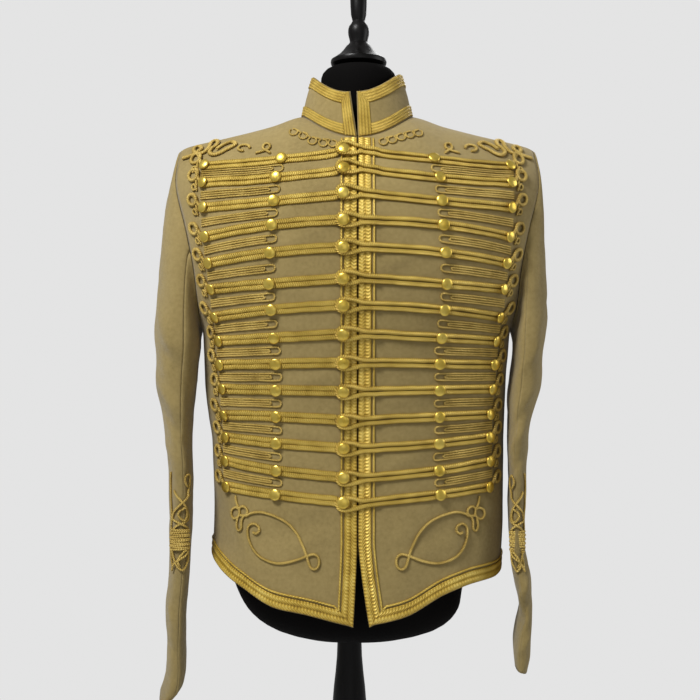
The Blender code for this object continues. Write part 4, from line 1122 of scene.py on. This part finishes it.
laceLook = {
    "width": 0.0158,
    "edge": 0.0006,  # how far above the hem it starts
    "inset": 0.0002,  # and how far in from the front edge
    "step": 0.0009,
    "across": 16,
    "lobes": 2,
    "base": 0.0010,
    "ribHeight": 0.0006,
    "ribReach": 0.05,
    "ribs": (0.04, 0.96),
    "beadHeight": 0.0008,
    "beadPitch": 0.0040,
    "beadReach": 0.14,
    "beadRows": (0.27, 0.73),
    "rim": 0.035,
    "topDrop": 0.0015,
    "frontRows": 300,
    "cornerRows": 3,
    "backRows": 260,
    "turns": (89.6, 90.4, 179.9),  # end of the front lace, start and end of the back one
    "cordOff": 0.0030,
    "cord": (0.0025, 0.0021),  # width, height
    "cordStep": 0.0013,
}


def laceHeight(share, length):
    height = laceLook["base"]
    for rib in laceLook["ribs"]:
        height += laceLook["ribHeight"] * bell(share - rib, laceLook["ribReach"])
    for k, row in enumerate(laceLook["beadRows"]):
        bead = abs(math.cos(math.pi * (length / laceLook["beadPitch"] + 0.5 * k))) ** 0.8
        height += laceLook["beadHeight"] * (0.25 + 0.75 * bead) * bell(share - row, laceLook["beadReach"], 4)
    return height * clamp(min(share, 1 - share) / laceLook["rim"], 0.25, 1.0)


underside = (0.98, 0.02)  # the two lower corners of a lace's section


# a strip of lace between two edges, each a list of spots, seated on the cloth
def addLace(part, outerEdge, innerEdge, seat, height=laceHeight, look=laceLook):
    middle = [a.lerp(b, 0.5) for a, b in zip(outerEdge, innerEdge)]
    shares = steps(0.0, 1.0, look["across"])
    length = 0.0
    rings = []
    uvRows = []
    for k, (a, b) in enumerate(zip(outerEdge, innerEdge)):
        length += (middle[k] - middle[max(k - 1, 0)]).length
        ring = []
        for share, rise in [(s, height(s, length)) for s in shares] + [(s, onCloth) for s in underside]:
            place, normal = seats[seat].find_nearest(a.lerp(b, share))[:2]
            ring.append(place + normal * rise)
        rings.append(ring)
        uvRows.append([(share * look["lobes"], length) for share in (*shares, *underside)])
    addGrid(part, rings, uvRows, ring=True, caps=True)


# outer and inner edge of the lace down a front and along its hem
def frontLaceEdges(side):
    sign, width, rows = sides[side], laceLook["width"], laceLook["frontRows"]
    top = cut["neckZ"]["front"] - laceLook["topDrop"]
    corner = hemZ(side, 0.0) + laceLook["edge"]
    outer = [bodySpot(frontEdgeX(side, z) + sign * laceLook["inset"], z) for z in steps(top, corner, rows)]
    inner = [bodySpot(frontEdgeX(side, z) + sign * width, z) for z in steps(top, corner + width, rows)]
    startTurn = abs(turnOf(frontEdgeX(side, corner), corner))
    startInner = abs(turnOf(frontEdgeX(side, corner + width) + sign * width, corner + width))
    endTurn = laceLook["turns"][0]
    for k, turn in enumerate(steps(startTurn, endTurn, rows)[1:], 1):
        rise = mix(corner, hemZ(side, turn) + laceLook["edge"], min(k / laceLook["cornerRows"], 1.0))
        outer.append(surface(sign * turn, rise))
    for turn in steps(startInner, endTurn, rows)[1:]:
        inner.append(surface(sign * turn, hemZ(side, turn) + laceLook["edge"] + width))
    return outer, inner


def backLaceEdges(side):
    turns = steps(*laceLook["turns"][1:], laceLook["backRows"])
    lows = [hemZ(side, turn) + laceLook["edge"] for turn in turns]
    rises = (0.0, laceLook["width"])
    return [[surface(sides[side] * turn, low + up) for turn, low in zip(turns, lows)] for up in rises]


def makeLaces():
    away = 1.0 + laceLook["cordOff"] / laceLook["width"]
    for side in sides:
        front = frontLaceEdges(side)
        middle = [(a + b) / 2 for a, b in zip(*front)]
        back = backLaceEdges(side)
        evenFront = evenSteps(laceLook["step"], middle, *front)
        bands = (("front_lace", front, evenFront), ("hem_lace_back", back, back))
        for name, (outer, inner), evenEdges in bands:
            part = newPart()
            addLace(part, *evenEdges, "body")
            # a thin cord runs beside the lace
            line = [a.lerp(b, away) for a, b in zip(outer[::4], inner[::4])]
            addCord(part, line, "body", roundSection(*laceLook["cord"]), step=laceLook["cordStep"])
            makePiece(f"{name}_{side}", "band", part, laceGold)
    print("front and hem laces made")


makeLaces()

collarLace = {
    "bands": {"bottom": (0.02, 0.26), "top": (0.71, 0.985)},
    "frontWidths": {"right": 0.036, "left": 0.040},  # share of the way round
    "frontEdge": 0.004,
    "mitre": 0.012,  # where the top band's upper edge starts, mitred into the front bands
    "mitreBow": 1.2,
    "steps": 420,
    "frontSteps": 56,
    "across": 12,
    "lobes": 4,
    "base": 0.0010,
    "ribs": (0.10, 0.36, 0.64, 0.90),
    "ribHeight": 0.0008,
    "ribReach": 0.075,
    "rim": 0.05,
    "pitch": 0.0030,
}


def collarLaceHeight(share, length):
    ripple = 0.75 + 0.25 * math.cos(2 * math.pi * length / collarLace["pitch"])
    ribs = sum(bell(share - rib, collarLace["ribReach"]) for rib in collarLace["ribs"])
    height = collarLace["base"] + collarLace["ribHeight"] * ripple * ribs
    return height * clamp(min(share, 1 - share) / collarLace["rim"], 0.25, 1.0)


def makeCollarLaces():
    widths, mitre = collarLace["frontWidths"], collarLace["mitre"]
    topLow, topHigh = collarLace["bands"]["top"]
    edges = {}
    for name, (low, high) in collarLace["bands"].items():
        starts = (widths["left"], 1.0 - widths["right"])
        innerStarts = (mitre, 1.0 - mitre) if name == "top" else starts
        edges[name] = [
            [onCollar(around, up) for around in steps(*ends, collarLace["steps"])]
            for ends, up in ((starts, low), (innerStarts, high))
        ]
    for side in sides:
        edges[f"front_{side}"] = outer, inner = [], []
        for up in steps(topHigh, collarLace["bands"]["bottom"][0], collarLace["frontSteps"]):
            reach = clamp((up - topLow) / (topHigh - topLow)) ** collarLace["mitreBow"]
            for line, around in ((outer, collarLace["frontEdge"]), (inner, mix(widths[side], mitre, reach))):
                line.append(onCollar(1.0 - around if side == "right" else around, up))
    for name, (outer, inner) in edges.items():
        part = newPart()
        addLace(part, outer, inner, "collar", collarLaceHeight, collarLace)
        makePiece(f"collar_lace_{name}", "band", part, collarGold)
    print("collar laces made")


makeCollarLaces()


# cord work: routes on a seat, each with its cord's width and height, and its lift if it isn't the usual one
def makeCordWork(node, seat, routes, replaces=True, count=9, step=0.0012):
    part = newPart()
    for points, width, height, *lift in routes:
        addCord(part, points, seat, roundSection(width, height, count), *lift or [onCloth], step)
    makePiece(node, "cord", part, cordGold, replaces)


# on each skirt: distance from the middle and height, the leaf and the small curls above it
skirtLook = {
    "cord": (0.0034, 0.0027),  # width, height
    "leaf": metres((
        (137, 944), (130, 949), (118, 951.5), (104, 949), (93, 945), (85, 940.5), (78, 934), (71.5, 925.5),
        (67, 916.5), (63.2, 908), (60, 898.5), (57.2, 890.5), (53, 887), (48.2, 889), (46, 895.5),
        (47.8, 902), (52.5, 904.5), (57.5, 903.5), (63, 901.5), (70, 898.5), (80, 895), (90, 892.5),
        (99, 892), (109, 894), (119, 898.5), (126.5, 906), (131.2, 915), (133.5, 925), (132.5, 933),
        (127, 936.8), (121, 934.5), (119.5, 929), (123.5, 925), (128.5, 927),
    )),
    "flourish": metres((
        (150.9, 969), (149, 960), (145.5, 952.5), (149, 954), (154.5, 951), (156, 945), (152, 940),
        (146.5, 942), (144, 947), (144.5, 953), (140.5, 956.5), (135.2, 954), (134.5, 948), (139, 945),
        (144.5, 945), (146.5, 939), (147, 931), (144, 926.2), (140.8, 930), (141.2, 937), (139, 944),
        (134, 947.5),
    )),
}


def makeSkirtLoops():
    for side, sign in sides.items():
        routes = [[bodySpot(sign * x, z) for x, z in skirtLook[name]] for name in ("leaf", "flourish")]
        makeCordWork(f"skirt_loop_{side}", "body", [(route, *skirtLook["cord"]) for route in routes])
    print("skirt cord work made")


makeSkirtLoops()

# on each forearm: psi in degrees, and height from the knot's middle in millimetres
cuffLook = {
    "middleZ": {"right": 0.940, "left": 0.938},
    "cord": (0.0030, 0.0024),
    "nextLift": 0.0003,  # each strand lies this much above the one before
    "strands": (
        ((62, 58), (56, 44), (54, 24), (55, 4), (54, -16), (56, -36), (60, -50), (68, -60)),
        ((70, 36), (82, 28), (100, 18), (118, 8), (122, 0), (104, -4), (84, -8), (66, -14)),
        ((124, 30), (108, 24), (88, 16), (70, 8), (64, 0), (82, -3), (102, -8), (120, -14)),
        ((92, 10), (104, 14), (112, 6), (104, -2), (92, 0), (86, 6), (92, 12)),
        ((112, 24), (114, 34), (122, 41), (124, 49), (114, 55), (103, 50), (105, 42), (114, 38)),
        ((68, -36), (76, -46), (86, -56), (98, -62), (110, -56), (116, -46), (108, -38), (96, -42),
         (88, -50), (92, -58)),
        ((118, -36), (106, -44), (92, -48), (78, -54), (70, -64)),
    ),
    "plait": (60, 118, -13, -38, 10),  # from and to round the sleeve, from and to in height, turns
}


def makeCuffKnots():
    start, end, high, low, turns = cuffLook["plait"]
    plait = [(end if k % 2 else start, up) for k, up in enumerate(steps(high, low, turns))]
    for side, middleZ in cuffLook["middleZ"].items():
        routes = []
        for k, strand in enumerate((*cuffLook["strands"], plait)):
            points = [sleeveRing(side, psi, middleZ + up / 1000) for psi, up in strand]
            routes.append((points, *cuffLook["cord"], onCloth + cuffLook["nextLift"] * k))
        makeCordWork(f"cuff_knot_{side}", f"sleeve_{side}", routes)
    print("cuff knots made")


makeCuffKnots()

# along each shoulder and round the neck: distance from the middle and height
shoulderLook = {
    "cords": ((0.0037, 0.0030), (0.0040, 0.0031), (0.0062, 0.0036)),  # one for each curl
    "curls": metres((
        ((106.2, 1389.8), (111, 1393.5), (116.5, 1397.5), (115, 1404), (109, 1403.5), (108.5, 1397.5),
         (114, 1394.5), (121, 1392.5), (126.6, 1391.1)),
        ((134, 1398.5), (134.8, 1402.2), (139.5, 1404.5), (145.5, 1403.8), (148.8, 1400), (146, 1396.2),
         (140.5, 1395.5)),
        ((223.8, 1392.4), (216, 1393.5), (208.5, 1396), (202, 1400), (198.5, 1404.5), (203, 1408.5),
         (208.5, 1406), (208, 1400.5), (201, 1396.5), (193, 1398.5), (188, 1405), (187, 1412.5),
         (183, 1416.5), (178, 1413.5), (178.5, 1407), (183.5, 1403), (186, 1396.5), (180, 1392.5),
         (172, 1394.5), (165, 1398.5), (158, 1402), (153, 1406.5), (158, 1410.5), (165, 1409), (172, 1405),
         (178, 1400)),
    )),
    "neckCord": (0.0025, 0.002125),
    "neckStep": 0.0011,
    "neckCurls": {  # middles of the curls, from the neck's side to the front
        "right": metres((
            (78.7, 1419.5), (66.3, 1413), (54.8, 1405), (41.7, 1402), (30, 1401.5),
        )),
        "left": metres((
            (74.5, 1417), (64, 1414), (53, 1410.5), (42, 1406.5), (31, 1404),
        )),
    },
    "neckCurl": metres((  # one curl round its middle, inward and up
        (-3.6, 4.6), (-5.6, 1.6), (-5, -2.6), (-1.6, -5), (2.6, -4.2), (4.6, -0.8), (3.4, 3), (0, 4),
        (-1.4, 5.2),
    )),
}


def makeShoulderScrolls():
    for side, sign in sides.items():
        routes = [
            ([bodySpot(sign * x, z) for x, z in curl], *cord)
            for curl, cord in zip(shoulderLook["curls"], shoulderLook["cords"])
        ]
        makeCordWork(f"shoulder_scroll_{side}", "body", routes)
        points = [
            bodySpot(sign * (x - a), z + b)
            for x, z in shoulderLook["neckCurls"][side] for a, b in shoulderLook["neckCurl"]
        ]
        routes = [(points, *shoulderLook["neckCord"])]
        makeCordWork(f"neck_curls_{side}", "body", routes, False, 7, shoulderLook["neckStep"])
    print("shoulder and neck cord work made")


makeShoulderScrolls()

# dress form and stand
formLook = {
    "cloth": 0.0020,  # the jacket's cloth and lining
    "clear": 0.0013,  # between them and the cover
    "clearHigh": 0.0040,  # the same above this height
    "highFrom": 1.360,
    "sideClear": 0.0045,
    "ridgeClear": 0.006,
    "neckDrop": 0.003,  # the cover leans in from this far below the neck edge
    "neckLean": 0.35,
    "fit": (  # height, share of the jacket on the wearer's right and left
        (0.772, 0.24, 0.24), (0.777, 0.4, 0.4), (0.79, 0.6, 0.6), (0.81, 0.745, 0.708), (0.838, 0.835, 0.745),
        (0.87, 0.89, 0.79), (0.91, 0.93, 0.845), (0.96, 0.945, 0.905), (1.03, 0.955, 0.945),
        (1.1, 0.962, 0.962), (1.15, 0.958, 0.958), (1.19, 0.955, 0.955), (1.23, 0.985, 0.985), (1.27, 1, 1),
        (1.388, 1, 1), (1.402, 0.98, 0.98), (1.414, 0.93, 0.93), (1.424, 0.87, 0.87), (1.432, 0.8, 0.8),
    ),
    "aside": -0.005,  # the narrow foot of the form sits a little to the wearer's right
    "levels": 84,
    "levelPower": 1.1,
    "round": 96,
    "weave": (96, 70),  # columns and rows to one unit of the weave
    "top": 1.4335,
    "topShare": 0.62,
}
# x and y of the axis, then radius and height
turnedLook = {
    "form_neck": (0.002, -0.008, metres((
        (0.1, 1516), (15, 1515.9), (28, 1515.5), (38, 1513.8), (43, 1511), (47, 1506.5), (49, 1501),
        (49.7, 1490), (49.5, 1480), (48.8, 1470), (48, 1460), (46, 1433.8), (0.1, 1433.8),
    ))),
    "finial": (0.002, -0.008, metres((
        (0.1, 1660), (5, 1659.3), (9, 1657), (12.8, 1653), (15, 1648), (15.4, 1643.5), (15, 1639),
        (12.2, 1633), (9.5, 1629), (9.8, 1620), (10.6, 1610), (11, 1605), (10.7, 1595), (10, 1585),
        (8.8, 1580), (8, 1577), (9.8, 1573.5), (12.5, 1570), (13.6, 1566), (13.8, 1562), (13.3, 1558),
        (11.8, 1552), (11.5, 1549), (13.5, 1546), (16, 1544), (20, 1538.5), (25, 1533), (32, 1528),
        (36, 1525.5), (36.6, 1522.8), (36, 1520), (33, 1517.8), (28, 1516.4), (0.1, 1516.3),
    ))),
    "pole": (-0.010, 0.0, metres((
        (0.1, 771.7), (15.5, 771.7), (16, 760), (16.5, 745), (18.2, 725), (20.5, 705), (22.5, 680), (23, 660),
        (22.2, 630), (20.5, 590), (20, 550), (19.8, 350), (20, 150), (22.2, 138), (24, 120), (26.2, 105),
        (26, 90), (23.8, 70), (22, 50.3), (0.1, 50.3),
    ))),
    "stand_base": (-0.010, 0.0, metres((
        (0.1, 50), (23, 50), (26.8, 48.8), (30, 45), (34, 42), (45, 37.5), (60, 34), (100, 29), (135, 24.5),
        (145, 22.2), (150.2, 18.5), (152, 14), (152, 3), (150.8, 0.6), (149, 0), (0.1, 0),
    ))),
}


@lru_cache(maxsize=None)
def formHalfWidth(sign, z):
    if z <= armholeRows[0][1]:
        return halfWidthAt(sign, z) - formLook["cloth"] - formLook["clear"]
    share = min(steps(0.0, 1.0, 60), key=lambda s: abs(readRows(armholeRows, s, 1) - z))
    tip = surface(sign * readRows(armholeRows, share, 2), min(z, armholeRows[-1][1]))
    underRidge = max(0.001 * k for k in range(240) if ridgeAt(0.001 * k) > z + formLook["ridgeClear"])
    return min(abs(tip.x) - formLook["sideClear"], underRidge)


# the cover lies just inside the jacket and leans in above the neck edge
def insideJacket(turn, z):
    clear = formLook["cloth"] + formLook["clearHigh" if z > formLook["highFrom"] else "clear"]
    back = abs(turn) > 90.0
    point = surface(turn, z)
    if abs(point.x) < cut["neckHalfWidth"]:
        edge = neckZ(point.x, "back" if back else "front") - formLook["neckDrop"]
        if z > edge:
            atEdge = abs(turnOf(abs(point.x), edge))
            atEdge = math.copysign(180.0 - atEdge if back else atEdge, turn)
            point = surface(atEdge, edge) - surfaceNormal(atEdge, edge) * clear
            depth = max(abs(point.y) - formLook["neckLean"] * (z - edge), 0.0)
            return Vector((point.x, math.copysign(depth, point.y), z))
    point -= surfaceNormal(turn, z) * clear
    return Vector((point.x, point.y, min(point.z, z)))


def makeForm():
    rings = []
    low = formLook["fit"][0][0]
    for level in steps(0.0, 1.0, formLook["levels"]):
        z = mix(low, formLook["top"], level ** formLook["levelPower"])
        fits = {-1: readRows(formLook["fit"], z, 1), 1: readRows(formLook["fit"], z, 2)}
        turns = steps(*(turnOf(sign * formHalfWidth(sign, z), z) for sign in (-1, 1)), formLook["round"] // 2)
        ring = []
        for turn in turns + [math.copysign(180.0 - abs(t), t or 1.0) for t in reversed(turns)]:
            point = insideJacket(turn, z)
            x = point.x * fits[1 if point.x >= 0 else -1] + formLook["aside"] * (1.0 - fits[-1])
            ring.append(Vector((x, point.y * fits[-1], point.z)))
        rings.append(ring)
    middle = sum(rings[-1], Vector()) / len(rings[-1])
    rings.append([middle.lerp(point, formLook["topShare"]) for point in rings[-1]])
    part = newPart()
    acrossUnit, upUnit = formLook["weave"]
    uvRows = [[(k / acrossUnit, j / upUnit) for k in range(len(rings[0]))] for j in range(len(rings))]
    addGrid(part, rings, uvRows, ring=True, caps=True)
    makePiece("form_torso", "cover", part, jersey, creaseAngle=50)
    print("dress form made")


def makeTurned():
    axes = (Vector((1, 0, 0)), Vector((0, 1, 0)), Vector((0, 0, 1)))
    for node, (x, y, profile) in turnedLook.items():
        part = newPart()
        addTurned(part, Vector((x, y, 0)), axes, profile, 64, [z for _, z in profile], flip=True)
        makePiece(node, "turned", part, jersey if node == "form_neck" else blackWood, creaseAngle=35)
    print("neck, finial, pole and foot made")


makeForm()
makeTurned()

# camera, light and floor
shot = {
    "camera": (-0.0001, -1.325, 1.18),
    "lens": 51.8,
    "shiftY": -0.036,
    "backdrop": (0.775, 0.775, 0.775),
    "fill": 0.27,
    "lights": {  # place, height it aims at, width and height, watts
        "key": ((-1.00, -1.20, 2.75), 1.2, (0.6, 0.6), 46),
        "frontFill": ((0.2, -2.8, 1.5), 1.1, (1.6, 1.6), 4),
        "side": ((2.0, -0.1, 1.7), 1.2, (1.2, 1.2), 9),
        "rim": ((0.6, 2.0, 2.6), 1.2, (1.4, 1.0), 14),
    },
    "floorRadius": 1.6,
}


def place(name, data, where):
    made = bpy.data.objects.new(name, data)
    made.location = where
    bpy.context.scene.collection.objects.link(made)
    return made


def makeCamera():
    data = bpy.data.cameras.new("camera")
    data.lens = shot["lens"]
    data.sensor_width = 36.0
    data.shift_y = shot["shiftY"]
    camera = place("camera", data, shot["camera"])
    camera.rotation_euler = (math.radians(90), 0, 0)
    bpy.context.scene.camera = camera


def makeLights():
    for name, (where, aimZ, size, power) in shot["lights"].items():
        data = bpy.data.lights.new(name, "AREA")
        data.shape = "RECTANGLE"
        data.size, data.size_y = size
        data.energy = power
        light = place(name, data, where)
        light.rotation_euler = (Vector((0, 0, aimZ)) - Vector(where)).to_track_quat("-Z", "Y").to_euler()


def makeWorld():
    world = bpy.data.worlds.new("studio")
    world.use_nodes = True
    tree = world.node_tree
    tree.nodes.clear()
    seen = addNode(tree, "ShaderNodeBackground", {"Color": (*shot["backdrop"], 1.0), "Strength": 1.0})
    light = addNode(tree, "ShaderNodeBackground", {"Color": (1.0, 1.0, 1.0, 1.0), "Strength": shot["fill"]})
    ray = addNode(tree, "ShaderNodeLightPath", {}).outputs["Is Camera Ray"]
    both = addNode(tree, "ShaderNodeMixShader", {0: ray, 1: light.outputs[0], 2: seen.outputs[0]})
    addNode(tree, "ShaderNodeOutputWorld", {"Surface": both.outputs[0]})
    bpy.context.scene.world = world
    bpy.context.scene.view_settings.view_transform = "Standard"


def makeFloor():
    mesh = bpy.data.meshes.new("floor")
    radius, count = shot["floorRadius"], 96
    angles = [2 * math.pi * k / count for k in range(count)]
    rim = [(radius * math.cos(a), radius * math.sin(a), 0.0) for a in angles]
    mesh.from_pydata(rim, [], [tuple(range(count))])
    floor = place("floor", mesh, (0, 0, 0))
    look = Look("paleFloor", None, 0.8)
    grain = look.noise(40.0, 3.0, 0.5)
    look.link({"Base Color": look.ramp(grain, (0.3, (0.70, 0.70, 0.70)), (0.7, (0.74, 0.74, 0.74)))})
    mesh.materials.append(look.made)


makeCamera()
makeLights()
makeWorld()
makeFloor()
print("camera, light and floor made")
